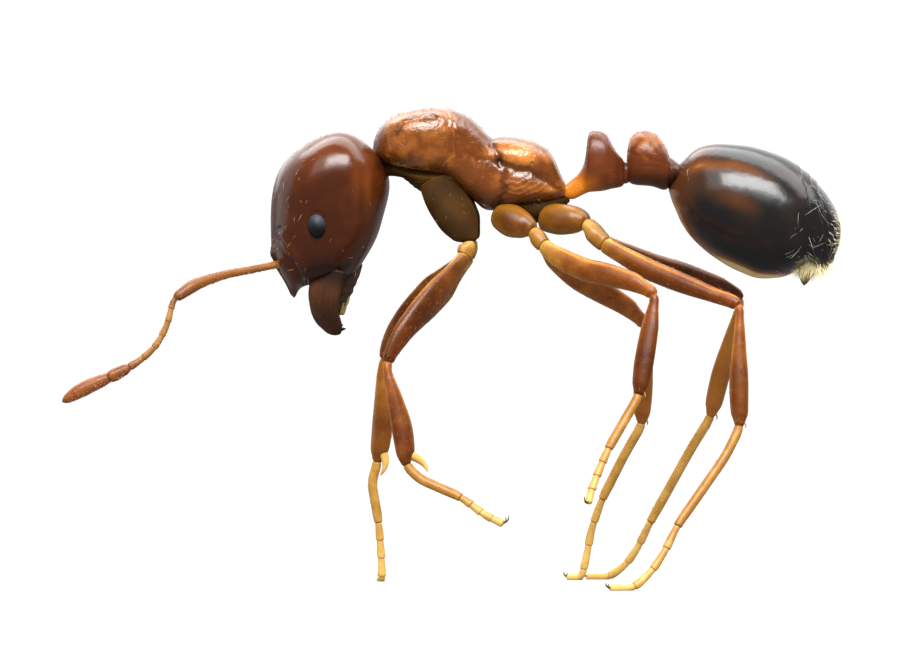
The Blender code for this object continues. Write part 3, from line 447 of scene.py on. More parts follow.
def limb(route, table, first, last, rings, sides, flat_side, before=0.0, after=0.0, round_off=0.03,
         blur=1.0, swell=None):
    """A stretch of a limb with rounded ends, run on a little past its first and last place."""
    start, end = route.run(first) - before, route.run(last) + after
    turn = np.linspace(0, 1, rings)
    bunch = (1 - np.cos(np.pi * turn)) / 2
    runs = start + (end - start) * (0.5 * turn + 0.5 * bunch)
    us = np.array([route.place(run) for run in runs])
    centres = np.array([route.point(run) for run in runs])
    aims = unit(np.array([route.aim(run) for run in runs]))
    half, above, below = soften(read_table(table, us), blur, np.array([False] * 3)).T
    if swell:
        share = (runs - start) / (end - start)
        half, above, below = (reach * np.interp(share, *zip(*swell)) for reach in (half, above, below))
    near = np.minimum(runs - start, end - runs) / round_off
    cap = np.sqrt(np.clip(1 - (1 - np.clip(near, 0, 1))**2, 0.0004, 1))
    side = unit(np.array(flat_side, float) - aims * (aims @ np.array(flat_side, float))[:, None])
    centres = centres + np.cross(aims, side) * ((above - below) / 2)[:, None]
    return Skin(centres, aims, flat_side, half * cap, (above + below) / 2 * cap, sides, 2.0, us)


def round_rows(keys):
    """Rows for a limb that is round, from places u and half thicknesses."""
    return [(u, half, half, half) for u, half in keys]


def plate_rows(keys):
    """Rows for a limb that is flat, from places u, half thicknesses and half breadths."""
    return [(u, thin, broad, broad) for u, thin, broad in keys]


def line_distance(x, z, line):
    """Distance of points from a broken line, in the plane that the ant shows from its side."""
    best = np.full(x.shape, 1e9)
    for (ax, az), (bx, bz) in zip(line, line[1:]):
        dx, dz = bx - ax, bz - az
        t = np.clip(((x - ax) * dx + (z - az) * dz) / (dx * dx + dz * dz), 0, 1)
        best = np.minimum(best, np.hypot(x - ax - t * dx, z - az - t * dz))
    return best


def bell(distance, width):
    """One in the middle, a third at this width, and near nothing at twice it."""
    return np.exp(-(distance / width)**2)


def mound(x, z, spot):
    """A bell round a spot that gives its middle and its reach along and up."""
    return bell(np.hypot((x - spot[0]) / spot[2], (z - spot[1]) / spot[3]), 1.0)


def ease(values, start, end):
    """Nought before start, one after end, and smooth between; start may be past end."""
    t = np.clip((values - start) / (end - start), 0, 1)
    return t * t * (3 - 2 * t)


def joined(name, skins):
    """One closed mesh in metres from several skins, with what each keeps on its points."""
    verts, faces, corners = [], [], []
    kept = {key: [] for key in ("along", "tint", "hairy")}
    lie = []
    for number, skin in enumerate(skins):
        rings, sides = skin.grid.shape[:2]
        base, pole = len(verts), len(verts) + rings * sides
        verts.extend((skin.grid.reshape(-1, 3) * MM).tolist())
        verts.extend((skin.grid[ring].mean(axis=0) * MM).tolist() for ring in (0, -1))
        for key, rows in kept.items():
            field = skin.extra.get(key, np.zeros((rings, sides)))
            field = np.repeat(skin.along, sides) if key == "along" else field.reshape(-1)
            rows.extend([*field, field[0], field[-1]])
        lie.extend(np.tile(skin.lie, (rings * sides + 2, 1)))
        grid = skin.grid
        swirl = np.cross(np.roll(grid, -1, 1) - grid, np.gradient(grid, axis=0))
        inside = ((grid - grid.mean(axis=1, keepdims=True)) * swirl).sum() < 0
        for r in range(-1, rings):
            for s in range(sides):
                here, there = base + r * sides + s, base + r * sides + (s + 1) % sides
                face = [here, there, there + sides, here + sides]
                if r == -1:
                    face = [pole, there + sides, here + sides]
                elif r == rings - 1:
                    face = [here, there, pole + 1]
                u, v = s / sides, (r + 1) / (rings + 1)
                spots = [(u, v), (u + 1 / sides, v), (u + 1 / sides, v + 1 / rings), (u, v + 1 / rings)]
                spots = spots[:len(face)]
                if inside:
                    face.reverse()
                    spots.reverse()
                faces.append(face)
                corners.extend(((number + p[0]) / len(skins), p[1]) for p in spots)
    mesh = bpy.data.meshes.new(name)
    mesh.from_pydata(verts, [], faces)
    for key, rows in kept.items():
        mesh.attributes.new(key, "FLOAT", "POINT").data.foreach_set("value", np.array(rows, np.float32))
    flow = mesh.attributes.new("lie", "FLOAT_VECTOR", "POINT")
    flow.data.foreach_set("vector", np.array(lie, np.float32).ravel())
    unwrap = mesh.attributes.new("unwrap", "FLOAT2", "CORNER")
    unwrap.data.foreach_set("vector", np.array(corners, np.float32).ravel())
    mesh.shade_smooth()
    return mesh


def hang(name, mesh, material, nodes=()):
    """Put a finished mesh in the scene, on the body, in place of CAD nodes."""
    mesh.materials.clear()
    mesh.materials.append(material)
    piece = bpy.data.objects.new(name, mesh)
    bpy.context.scene.collection.objects.link(piece)
    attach(piece, "root")
    if nodes:
        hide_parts(*nodes)
    return piece


def plant(name, skins, material, nodes=()):
    """Join skins into one piece that stands for CAD nodes."""
    mesh = joined(name, skins)
    for key in ("hairy", "lie", "unwrap"):
        mesh.attributes.remove(mesh.attributes[key])
    return hang(name, mesh, material, nodes)


# ---------------------------------------------------------------- materials
def srgb(code):
    """A colour written as an sRGB hex value, as the linear colour that a shader takes."""
    parts = [int(code[i:i + 2], 16) / 255 for i in (1, 3, 5)]
    return (*[c / 12.92 if c <= 0.04045 else ((c + 0.055) / 1.055)**2.4 for c in parts], 1)


def blank(name):
    """A new material and its node tree, emptied."""
    material = bpy.data.materials.new(name)
    material.use_nodes = True
    material.node_tree.nodes.clear()
    return material, material.node_tree


def add(tree, kind, inputs=None, stops=None, **settings):
    """Add a node; set its options and colour stops, and set or link its inputs."""
    node = tree.nodes.new(kind)
    for key, value in settings.items():
        setattr(node, key, value)
    for number, (place, code) in enumerate(stops or []):
        ramp = node.color_ramp.elements
        stop = ramp[number] if number < len(ramp) else ramp.new(place)
        stop.position, stop.color = place, srgb(code)
    for key, value in (inputs or {}).items():
        if isinstance(value, bpy.types.NodeSocket):
            tree.links.new(value, node.inputs[key])
        else:
            node.inputs[key].default_value = value
    return node


def cuticle(name, tones, roughness=(0.22, 0.36), gloss=0.25, glow=0.1, relief=0.3, grain=90.0,
            cloud=4.0, patchy=0.12, dimples=0.15, pores=11.0, bands=None):
    """Chitin shell over soft tissue: clear amber that a thin waxy skin leaves glossy.

    tones are the dark, usual and light colour, and may be followed by a pale one. tint, kept on
    the points, leads from one to the other. cloud, pores and grain are patterns to a millimetre:
    soft patches about 0.1 to 0.25 mm wide break the tint, shallow dimples break the shine, and a
    fine net of cells, about 0.01 mm each, breaks the highlights. bands tint a limb along its route.
    """
    material, tree = blank(name)
    place = add(tree, "ShaderNodeTexCoord").outputs["Object"]
    place = add(tree, "ShaderNodeMapping", {"Vector": place, "Scale": (1 / MM,) * 3}).outputs["Vector"]
    clouds = add(tree, "ShaderNodeTexNoise", {"Vector": place, "Scale": cloud, "Detail": 2.0})
    tint = add(tree, "ShaderNodeAttribute", attribute_name="tint")
    drift = add(tree, "ShaderNodeMapRange", {
        "Value": clouds.outputs["Fac"], "From Min": NOISE_LOW, "From Max": NOISE_HIGH,
        "To Min": 0.5 - patchy, "To Max": 0.5 + patchy})
    tone = add(tree, "ShaderNodeMath", {0: tint.outputs["Fac"], 1: TINT_GAIN, 2: drift.outputs["Result"]},
               operation="MULTIPLY_ADD", use_clamp=True)
    colour = add(tree, "ShaderNodeValToRGB", {"Fac": tone.outputs[0]},
                 stops=list(zip(TONE_PLACES[len(tones)], tones))).outputs["Color"]
    if bands:
        last = bands[-1][0]
        along = add(tree, "ShaderNodeAttribute", attribute_name="along")
        share = add(tree, "ShaderNodeMath", {0: along.outputs["Fac"], 1: last}, operation="DIVIDE")
        band = add(tree, "ShaderNodeValToRGB", {"Fac": share.outputs[0]},
                   stops=[(u / last, code) for u, code in bands])
        mix = add(tree, "ShaderNodeMix", {"Factor": 1.0, "A": colour, "B": band.outputs["Color"]},
                  data_type="RGBA", blend_type="MULTIPLY")
        colour = mix.outputs["Result"]
    cells = add(tree, "ShaderNodeTexVoronoi", {"Vector": place, "Scale": grain}, feature="DISTANCE_TO_EDGE")
    wear = add(tree, "ShaderNodeTexNoise", {"Vector": place, "Scale": pores, "Detail": 6.0})
    rough = add(tree, "ShaderNodeMapRange", {
        "Value": wear.outputs["Fac"], "From Min": NOISE_LOW, "From Max": NOISE_HIGH,
        "To Min": roughness[0], "To Max": roughness[1]})
    dents = add(tree, "ShaderNodeBump", {"Height": cells.outputs["Distance"], "Strength": relief,
                                         "Distance": CELL_DEPTH})
    swell = add(tree, "ShaderNodeBump", {"Height": wear.outputs["Fac"], "Strength": dimples,
                                         "Distance": DIMPLE_DEPTH, "Normal": dents.outputs["Normal"]})
    shader = add(tree, "ShaderNodeBsdfPrincipled", {
        "Base Color": colour, "Roughness": rough.outputs["Result"], "IOR": 1.56,
        "Specular IOR Level": gloss, "Subsurface Weight": glow, "Subsurface Radius": (1.0, 0.5, 0.25),
        "Subsurface Scale": GLOW_DEPTH, "Normal": swell.outputs["Normal"]})
    add(tree, "ShaderNodeOutputMaterial", {"Surface": shader.outputs["BSDF"]})
    return material


def chitin_head():
    """Polished red-brown shell, nearly opaque, with a warmer patch where muscle shows through."""
    return cuticle("chitin_head_polished", ("#180b06", "#2e1205", "#5e2c0a"),
                   roughness=(0.15, 0.22), gloss=0.22, relief=0.12, patchy=0.05)


def cornea_eye():
    """Lenses over black pigment; the dull grey-blue on the upper half is a painted sheen."""
    return cuticle("cornea_eye_faceted", ("#030304", "#0c0c10", "#2c3038"),
                   roughness=(0.4, 0.5), gloss=0.12, glow=0.0, relief=0.0, patchy=0.03)


def chitin_jaw():
    """Hardened dark shell, drawn out in fine grooves, blacker on the worn teeth."""
    return cuticle("chitin_jaw_grooved", ("#0e0804", "#2c170a", "#4e2c14"),
                   roughness=(0.42, 0.55), gloss=0.08, relief=0.5, patchy=0.08)


def chitin_mouth():
    """Thin brown folds and pale olive palps."""
    return cuticle("chitin_mouth_thin", ("#140a05", "#2c1a0c", "#6a5a2c"),
                   roughness=(0.35, 0.5), relief=0.4)


def chitin_feeler():
    """Thin orange shell with a dull bloom of down, paler down the row of beads."""
    return cuticle("chitin_feeler_downy", ("#2c1808", "#684418", "#a0763c"),
                   roughness=(0.35, 0.5), gloss=0.2, relief=0.2,
                   bands=[(0, "#fff0d0"), (3, "#f0d0a8"), (5, "#d8b890"), (6, "#ffffff"), (10, "#fff4ec"),
                          (11.5, "#dcb498"), (15, "#dcae88")])


def chitin_trunk():
    """Orange-brown shell, glossy on the swollen plates and ridged; its darker lower flanks and grooves are
    painted shade, and its lighter rims and upper plates painted highlights.
    """
    return cuticle("chitin_trunk_ridged", ("#1e0c04", "#4e2607", "#a46428"),
                   roughness=(0.10, 0.16), gloss=0.36, cloud=6.0, patchy=0.09, dimples=0.30, pores=24.0)


def chitin_waist():
    """Red-brown knots on a stalk thin enough to glow amber."""
    return cuticle("chitin_waist_amber", ("#1c0904", "#461e08", "#985610"),
                   roughness=(0.20, 0.32), gloss=0.2, patchy=0.06)


def chitin_gaster():
    """Black glassy plates, red where they are thin in front; the olive and pale lower outline is painted rim
    light, and the red arch and patch under the top are painted glow.
    """
    return cuticle("chitin_gaster_glassy", ("#0a0a09", "#0e0d0c", "#502a0e", "#967e4a"),
                   roughness=(0.17, 0.23), glow=0.05, relief=0.06, patchy=0.02)


def chitin_sting():
    """Pale waxy sheath that ends in a dark point."""
    return cuticle("chitin_sting_waxy", ("#1a1005", "#806a34", "#b8a468"),
                   roughness=(0.4, 0.55), glow=0.2)


def chitin_leg():
    """Amber shell that shows the darker muscle inside, and stays clear at the joints."""
    return cuticle("chitin_leg_amber", ("#2c1605", "#643a10", "#9a7230"),
                   roughness=(0.24, 0.34), gloss=0.17, cloud=7.0, patchy=0.10,
                   bands=[(0, "#a08c68"), (0.9, "#b09868"), (2.0, "#ffffff"), (2.25, "#f0d8a8"),
                          (2.6, "#c09c78"), (3.0, "#f0c898"), (3.2, "#e8c898"), (3.6, "#b09070"),
                          (4.0, "#b8946c")])


def chitin_hip():
    """Olive-brown shell under a mat of tiny scales, which leave it dull."""
    return cuticle("chitin_hip_matt", ("#160e06", "#442a0e", "#7a5826"),
                   roughness=(0.5, 0.65), gloss=0.02, relief=0.5, patchy=0.06)


def chitin_foot():
    """Thin honey shell, almost clear, with darker rings at the joints."""
    return cuticle("chitin_foot_honey", ("#2c1804", "#744c12", "#c09c52"),
                   roughness=(0.3, 0.45), gloss=0.2, glow=0.0, relief=0.0, cloud=9.0, patchy=0.05,
                   dimples=0.04)


def bristle(name, root, tip):
    """Clear bristle of bare chitin, smooth and round: it glints along its length and pales to the tip."""
    material, tree = blank(name)
    share = add(tree, "ShaderNodeAttribute", attribute_name="tip")
    colour = add(tree, "ShaderNodeValToRGB", {"Fac": share.outputs["Fac"]}, stops=[(0.0, root), (0.8, tip)])
    place = add(tree, "ShaderNodeTexCoord")
    grain = add(tree, "ShaderNodeTexNoise", {"Vector": place.outputs["Object"], "Scale": 60000.0})
    rough = add(tree, "ShaderNodeMapRange", {"Value": grain.outputs["Fac"], "To Min": 0.25, "To Max": 0.45})
    shader = add(tree, "ShaderNodeBsdfPrincipled", {
        "Base Color": colour.outputs["Color"], "Roughness": rough.outputs["Result"], "IOR": 1.55,
        "Specular IOR Level": 0.4})
    add(tree, "ShaderNodeOutputMaterial", {"Surface": shader.outputs["BSDF"]})
    return material


# ---------------------------------------------------------------- coat
def bristle_tree():
    """Bristles rooted at random on a skin: thin bowed cones that lean the way lie points.

    hairy, kept on the skin, thins them out. Each bristle gets a patch of OFBake at its root's place
    on the skin's unwrap.
    """
    tree = bpy.data.node_groups.new("bristle_coat", "GeometryNodeTree")
    sockets = {"Skin": "Geometry", "Density": "Float", "Length": "Float", "Thickness": "Float",
               "Lean": "Float", "Ruffle": "Float", "Bow": "Float", "Seed": "Int", "Bristle": "Material"}
    for name, kind in sockets.items():
        tree.interface.new_socket(name, in_out="INPUT", socket_type="NodeSocket" + kind)
    tree.interface.new_socket("Coat", in_out="OUTPUT", socket_type="NodeSocketGeometry")
    size = add(tree, "NodeGroupInput").outputs

    hairy = add(tree, "GeometryNodeInputNamedAttribute", {"Name": "hairy"}, data_type="FLOAT")
    density = add(tree, "ShaderNodeMath", {0: hairy.outputs[0], 1: size["Density"]}, operation="MULTIPLY")
    roots = add(tree, "GeometryNodeDistributePointsOnFaces",
                {"Mesh": size["Skin"], "Density": density.outputs[0], "Seed": size["Seed"]})

    radius = add(tree, "ShaderNodeMath", {0: size["Thickness"], 1: 0.5}, operation="MULTIPLY")
    cone = add(tree, "GeometryNodeMeshCone", {
        "Vertices": BRISTLE_SIDES, "Side Segments": BRISTLE_STEPS, "Radius Bottom": radius.outputs[0],
        "Depth": size["Length"]})
    place = add(tree, "ShaderNodeSeparateXYZ", {0: add(tree, "GeometryNodeInputPosition").outputs[0]})
    tip = add(tree, "ShaderNodeMath", {0: place.outputs["Z"], 1: size["Length"]}, operation="DIVIDE")
    named = add(tree, "GeometryNodeStoreNamedAttribute",
                {"Geometry": cone.outputs["Mesh"], "Name": "tip", "Value": tip.outputs[0]},
                data_type="FLOAT", domain="POINT")
    strand = add(tree, "GeometryNodeStoreNamedAttribute",
                 {"Geometry": named.outputs[0], "Name": "strand", "Value": cone.outputs["UV Map"]},
                 data_type="FLOAT2", domain="CORNER")
    squared = add(tree, "ShaderNodeMath", {0: tip.outputs[0], 1: 2.0}, operation="POWER")
    reach = add(tree, "ShaderNodeMath", {0: size["Bow"], 1: size["Length"]}, operation="MULTIPLY")
    bent = add(tree, "ShaderNodeMath", {0: squared.outputs[0], 1: reach.outputs[0]}, operation="MULTIPLY")
    offset = add(tree, "ShaderNodeCombineXYZ", {"X": bent.outputs[0]})
    hair = add(tree, "GeometryNodeSetPosition", {"Geometry": strand.outputs[0], "Offset": offset.outputs[0]})

    lie = add(tree, "GeometryNodeInputNamedAttribute", {"Name": "lie"}, data_type="FLOAT_VECTOR")
    upright = add(tree, "FunctionNodeAlignRotationToVector", {"Vector": roots.outputs["Normal"]}, axis="Z")
    combed = add(tree, "FunctionNodeAlignRotationToVector",
                 {"Rotation": upright.outputs[0], "Vector": lie.outputs[0]}, axis="X", pivot_axis="Z")
    flip = add(tree, "ShaderNodeMath", {0: size["Ruffle"], 1: -1.0}, operation="MULTIPLY")
    turns = [add(tree, "FunctionNodeRandomValue", {2: flip.outputs[0], 3: size["Ruffle"], "Seed": seed},
                 data_type="FLOAT").outputs[1] for seed in (1, 2, 3)]
    leaning = add(tree, "ShaderNodeMath", {0: turns[1], 1: size["Lean"]}, operation="ADD")
    euler = add(tree, "ShaderNodeCombineXYZ", {"X": turns[0], "Y": leaning.outputs[0], "Z": turns[2]})
    turned = add(tree, "FunctionNodeRotateRotation", {
        "Rotation": combed.outputs[0],
        "Rotate By": add(tree, "FunctionNodeEulerToRotation", {"Euler": euler.outputs[0]}).outputs[0]},
                 rotation_space="LOCAL")
    scale = add(tree, "FunctionNodeRandomValue", {2: SHORTEST, 3: LONGEST, "Seed": 4}, data_type="FLOAT")
    grown = add(tree, "GeometryNodeInstanceOnPoints", {
        "Points": roots.outputs["Points"], "Instance": hair.outputs[0], "Rotation": turned.outputs[0],
        "Scale": scale.outputs[1]})

    solid = add(tree, "GeometryNodeRealizeInstances", {"Geometry": grown.outputs[0]})
    unwrap = add(tree, "GeometryNodeInputNamedAttribute", {"Name": "unwrap"}, data_type="FLOAT_VECTOR")
    own = add(tree, "GeometryNodeInputNamedAttribute", {"Name": "strand"}, data_type="FLOAT_VECTOR")
    patch = add(tree, "ShaderNodeVectorMath", {
        0: own.outputs[0], 1: (BAKE_PATCH,) * 3, 2: unwrap.outputs[0]}, operation="MULTIPLY_ADD")
    mapped = add(tree, "GeometryNodeStoreNamedAttribute",
                 {"Geometry": solid.outputs[0], "Name": "OFBake", "Value": patch.outputs[0]},
                 data_type="FLOAT2", domain="CORNER")
    finish = add(tree, "GeometryNodeSetMaterial", {"Geometry": mapped.outputs[0],
                                                   "Material": size["Bristle"]})
    add(tree, "NodeGroupOutput", {"Coat": finish.outputs[0]})
    return tree


def grow(name, skins, material, coat):
    """Grow a coat of bristles on skins, and hang them as one piece."""
    density, length, thickness, lean, ruffle, bow, seed = COATS[coat]
    skin = bpy.data.objects.new(name + "_root", joined(name + "_root", skins))
    bpy.context.scene.collection.objects.link(skin)
    growth = skin.modifiers.new("bristles", "NODES")
    growth.node_group = COAT
    values = {"Density": density / MM**2, "Length": length * MM, "Thickness": thickness * MM, "Lean": lean,
              "Ruffle": ruffle, "Bow": bow, "Seed": seed, "Bristle": material}
    for item in COAT.interface.items_tree:
        if item.name in values:
            growth[item.identifier] = values[item.name]
    deps = bpy.context.evaluated_depsgraph_get()
    mesh = bpy.data.meshes.new_from_object(skin.evaluated_get(deps), preserve_all_data_layers=True,
                                           depsgraph=deps)
    skin.modifiers.remove(growth)
    bpy.data.objects.remove(skin)
    for key in ("hairy", "lie", "unwrap", "along", "strand", "UVMap"):
        if key in mesh.attributes:
            mesh.attributes.remove(mesh.attributes[key])
    mesh.name = name
    mesh.shade_smooth()
    return hang(name, mesh, material)


# ---------------------------------------------------------------- head
def head_skin():
    """The head capsule: dipped crown, keeled face plate, sunken feeler pits, rims round the eyes."""
    aim = np.array((math.sin(HEAD_LEAN), 0, math.cos(HEAD_LEAN)))
    skin = straight(MOUTH, aim, HEAD_KEYS, *DETAIL["head"], power=2.2, blur=6.0)
    top = HEAD_KEYS[-1][0]
    height = np.clip(((skin.grid - MOUTH) @ aim - NOTCH_START) / (top - NOTCH_START), 0, 1)
    dip = NOTCH_DEPTH * np.exp(-(skin.grid[..., 1] / NOTCH_HALF_WIDTH)**2) * height**2
    skin.grid = skin.grid - aim * dip[..., None]
    x, y, z = skin.xyz()
    side = np.abs(y)
    face = ease(-skin.facing()[..., 0], 0.1, 0.5)
    furrow = bell(side, 0.014) * ease(z, 2.95, 3.1) * ease(z, 3.75, 3.5) * face
    keel = bell(side - (0.062 + 0.10 * (z - 2.44)), 0.012) * ease(z, 2.83, 2.72) * face
    channel = bell(side, 0.035) * ease(z, 2.78, 2.66) * face
    lobe = bell(side - FEELER_LOBE[0], 0.035) * bell(z - FEELER_LOBE[1], 0.05) * face
    pit = bell(np.hypot(side - FEELER_PIT[0], z - FEELER_PIT[1]), 0.055) * face
    edge = line_distance(x, z, SCROBE)
    ahead = np.where(x < np.interp(z, *zip(*sorted((q, p) for p, q in SCROBE))), 1, -1) * edge
    flank = ease(side, 0.10, 0.22)
    brow = bell(ahead, 0.030) * flank
    bay = bell(ahead - 0.055, 0.030) * flank * ease(z, 2.46, 2.52)
    around = np.hypot((x - EYE_PLACE[0]) / EYE_RADII[0], (z - EYE_PLACE[2]) / EYE_RADII[2])
    cheek = ease(side, 0.3, 0.45)
    socket, rim = bell(around - 0.95, 0.08) * cheek, bell(around - 1.15, 0.12) * cheek
    gape = line_distance(x, z, JAW_RIM)
    cleft = bell(gape, 0.020) * ease(side, 0.2, 0.35)
    nape = bell(np.hypot(x - NAPE[0], z - NAPE[1]), 0.05)
    net = np.sin(x * 130 + 2 * np.sin(z * 70)) * np.sin(z * 140 + 2 * np.sin(x * 60)) * bell(gape, 0.09)
    skin.push(-0.004 * furrow + 0.012 * keel - 0.006 * channel + 0.018 * lobe - 0.034 * pit
              + 0.009 * brow - 0.012 * bay - 0.008 * socket + 0.003 * rim - 0.006 * cleft
              + 0.0022 * net * cheek)
    rear = mound(x, z, MUSCLE_PATCH) * (0.85 + 0.3 * np.sin(x * 60))
    mouth = ease(z, 2.92, 2.64) * ease(x, -1.30, -1.18)
    # painted light and shade: the top of the head and the keel and brow ridges are tinted lighter as painted
    # highlights; the feeler pits, the hollow below the brow, the gape along the jaws and the nape are tinted
    # darker as painted shade
    skin.tell(tint=0.5 * rear - 0.7 * mouth + 0.1 * brow - 0.3 * bay - 0.4 * cleft + 0.3 * keel
              - 0.3 * pit - 0.4 * nape + 0.3 * ease(z, 3.35, 3.65),
              hairy=(0.45 + 0.9 * face + 0.5 * ease(z, 3.6, 3.75)) * ease(around, 1.15, 1.4)
              * ease(x, -0.62, -0.72))
    skin.lie = np.array((-0.35, 0, -1.0))
    return skin


def eye_skin(side):
    """A compound eye: an oval dome set with rows of small round lenses."""
    rings, sides = DETAIL["eye"]
    turn = np.linspace(0.002, np.pi - 0.002, rings)
    centre = np.array((EYE_PLACE[0], side * EYE_PLACE[1], EYE_PLACE[2]))
    centres = centre + np.outer(-np.cos(turn) * EYE_RADII[1], (0, side, 0))
    aims = np.broadcast_to(np.array((0.0, side, 0.0)), centres.shape)
    skin = Skin(centres, aims, (1, 0, 0), np.sin(turn) * EYE_RADII[0], np.sin(turn) * EYE_RADII[2], sides)
    flat = skin.grid - centre
    off = np.full(flat.shape[:2], 1e9)
    for start in (0.0, 0.5):
        across = (flat[..., 0] / LENS_PITCH + start) % 1 - 0.5
        rise = (flat[..., 2] / (LENS_PITCH * math.sqrt(3)) + start) % 1 - 0.5
        off = np.minimum(off, np.hypot(across, rise * math.sqrt(3)))
    skin.push(LENS_RISE * (1 - (off / 0.58)**2))
    x, _, z = skin.xyz() - centre[:, None, None]
    # painted sheen: the upper half of the eye is tinted lighter grey-blue
    skin.tell(tint=1.2 * ease(z + 0.4 * x, -0.05, 0.10) - 0.3 * ease(off, 0.42, 0.56))
    return skin


def spike(start, end, thick, thin, bow=(0, 0, 0), rings=14, sides=12):
    """A tapered tooth, claw or spur from start to end, bowed to one side."""
    start, end, bow = (np.array(v, float) for v in (start, end, bow))
    t = np.linspace(0, 1, rings)[:, None]
    centres = start * (1 - t) + end * t + bow * 4 * t * (1 - t)
    aims = unit(np.gradient(centres, axis=0))
    reach = (thick * (1 - t[:, 0])**0.8 + thin * t[:, 0]) * np.sqrt(np.clip((1 - t[:, 0]) * 12, 0.01, 1))
    return Skin(centres, aims, (0.31, 0.92, 0.24), reach, reach, sides, 2.0, t[:, 0])


def jaw_skins(side):
    """One mandible: a curved, grooved plate with teeth down its inner edge."""
    rings, sides = DETAIL["jaw"]
    route = Route([(x, side * y, z) for x, y, z in JAW_ROUTE])
    flat = np.array((-0.45, side * 0.9, 0))
    blade = limb(route, plate_rows(JAW_KEYS), 0, 4, rings, sides, flat, blur=3.0)
    turn, share = 2 * np.pi * np.arange(sides) / sides, blade.share()
    grooves = np.sin(turn * 15 + 2.0 * share) * ease(share, 0.15, 0.4) * ease(share, 1.0, 0.75)
    blade.push(0.0010 * grooves)
    # the grooves are tinted faintly lighter on their crests, a painted highlight
    blade.tell(tint=0.05 * grooves - 0.8 * ease(share, 0.32, 0.12) - 0.6 * ease(share, 0.75, 0.95)
               + 0.3 * bell(share - 0.45, 0.2))
    skins = [blade]
    for u, size in JAW_TEETH:
        run = route.run(u)
        at, aim = np.array(route.point(run)), np.array(route.aim(run))
        broad = read_table(JAW_KEYS, [u])[0][1]
        edge = unit(np.cross(aim, flat))
        edge = edge if edge[0] > 0 else -edge
        root = at + edge * broad * 0.75
        skins.append(spike(root, root + unit(edge + 0.7 * aim) * size, size * 0.42, 0.002).tell(tint=-0.9))
    return skins


def mouth_skins():
    """Folded mouthparts: the brown stem behind the jaws, and two pairs of small pale palps."""
    stem = limb(Route(CHIN_ROUTE), plate_rows(CHIN_KEYS), 0, 3, *DETAIL["chin"], (0, 1, 0), blur=2.0)
    x, y, z = stem.xyz()
    stem.push(-0.010 * bell(np.abs(y) - 0.055, 0.012) + 0.004 * np.sin(z * 90) * ease(z, 2.6, 2.5))
    stem.tell(tint=0.15 * ease(x, -0.90, -0.84) - 0.3)
    skins = [stem]
    for side in SIDES.values():
        for reach, start in PALPS:
            joints = [(-0.915 + reach, side * start, 2.43),
                      (-0.915 + reach * 0.5, side * (start + 0.01), 2.35),
                      (-0.935 + reach * 0.3, side * start, 2.27)]
            for a, b in zip(joints, joints[1:]):
                palp = limb(Route([a, b]), round_rows(PALP_KEYS), 0, 1, *DETAIL["palp"], (0, 1, 0),
                            0.004, 0.004, 0.012)
                skins.append(palp.tell(tint=1.3))
    return skins


def dress_head():
    """Head capsule, eyes, mandibles and mouthparts."""
    head = head_skin()
    plant("head_capsule", [head], chitin_head(), ["head"])
    grow("head_bristles", [head], GOLDEN, "head")
    eye, jaw = cornea_eye(), chitin_jaw()
    for name, side in SIDES.items():
        plant("eye_dome_" + name, [eye_skin(side)], eye, ["eye_" + name])
        plant("mandible_blade_" + name, jaw_skins(side), jaw, ["mandible_" + name])
    plant("mouthparts_folded", mouth_skins(), chitin_mouth(), ["mouthparts"])


# ---------------------------------------------------------------- feelers
def dress_feelers():
    """Nine joints each: a long scape from its ball, a row of short beads, and a club of two."""
    shell = chitin_feeler()
    table = round_rows(FEELER_KEYS)
    for name, points in FEELER_ROUTES.items():
        route, ends = Route(points), np.array(points)
        skins = [limb(route, table, 0, 5, *DETAIL["scape"], (0, 1, 0), 0.02, 0.0, 0.03),
                 spike(ends[0] + (0.03, 0, 0), ends[0] - (0.05, 0.02, 0), 0.045, 0.035)]
        for first, last in zip(FEELER_JOINTS, FEELER_JOINTS[1:]):
            slim = last <= FEELER_CLUB
            skin = limb(route, table, first, last, *DETAIL["bead" if slim else "club"], (0, 1, 0), 0.012,
                        0.004 if last < len(points) - 1 else 0.0, 0.014 if slim else 0.03,
                        swell=BEAD_SWELL if slim else CLUB_SWELL)
            share = skin.share()
            skins.append(skin.tell(tint=-0.25 * ease(share, 0.12, 0.0) - 0.2 * ease(share, 0.9, 1.0)))
        for skin in skins:
            skin.tell(hairy=1.0)
            skin.lie = ends[-1] - ends[5]
        skins[0].lie = ends[5] - ends[0]
        nodes = ["antenna_%s_%s" % (name, part) for part in ("scape", "funiculus", "club")]
        plant("feeler_" + name, skins, shell, nodes)
        grow("feeler_down_" + name, skins, DOWN, "feeler")


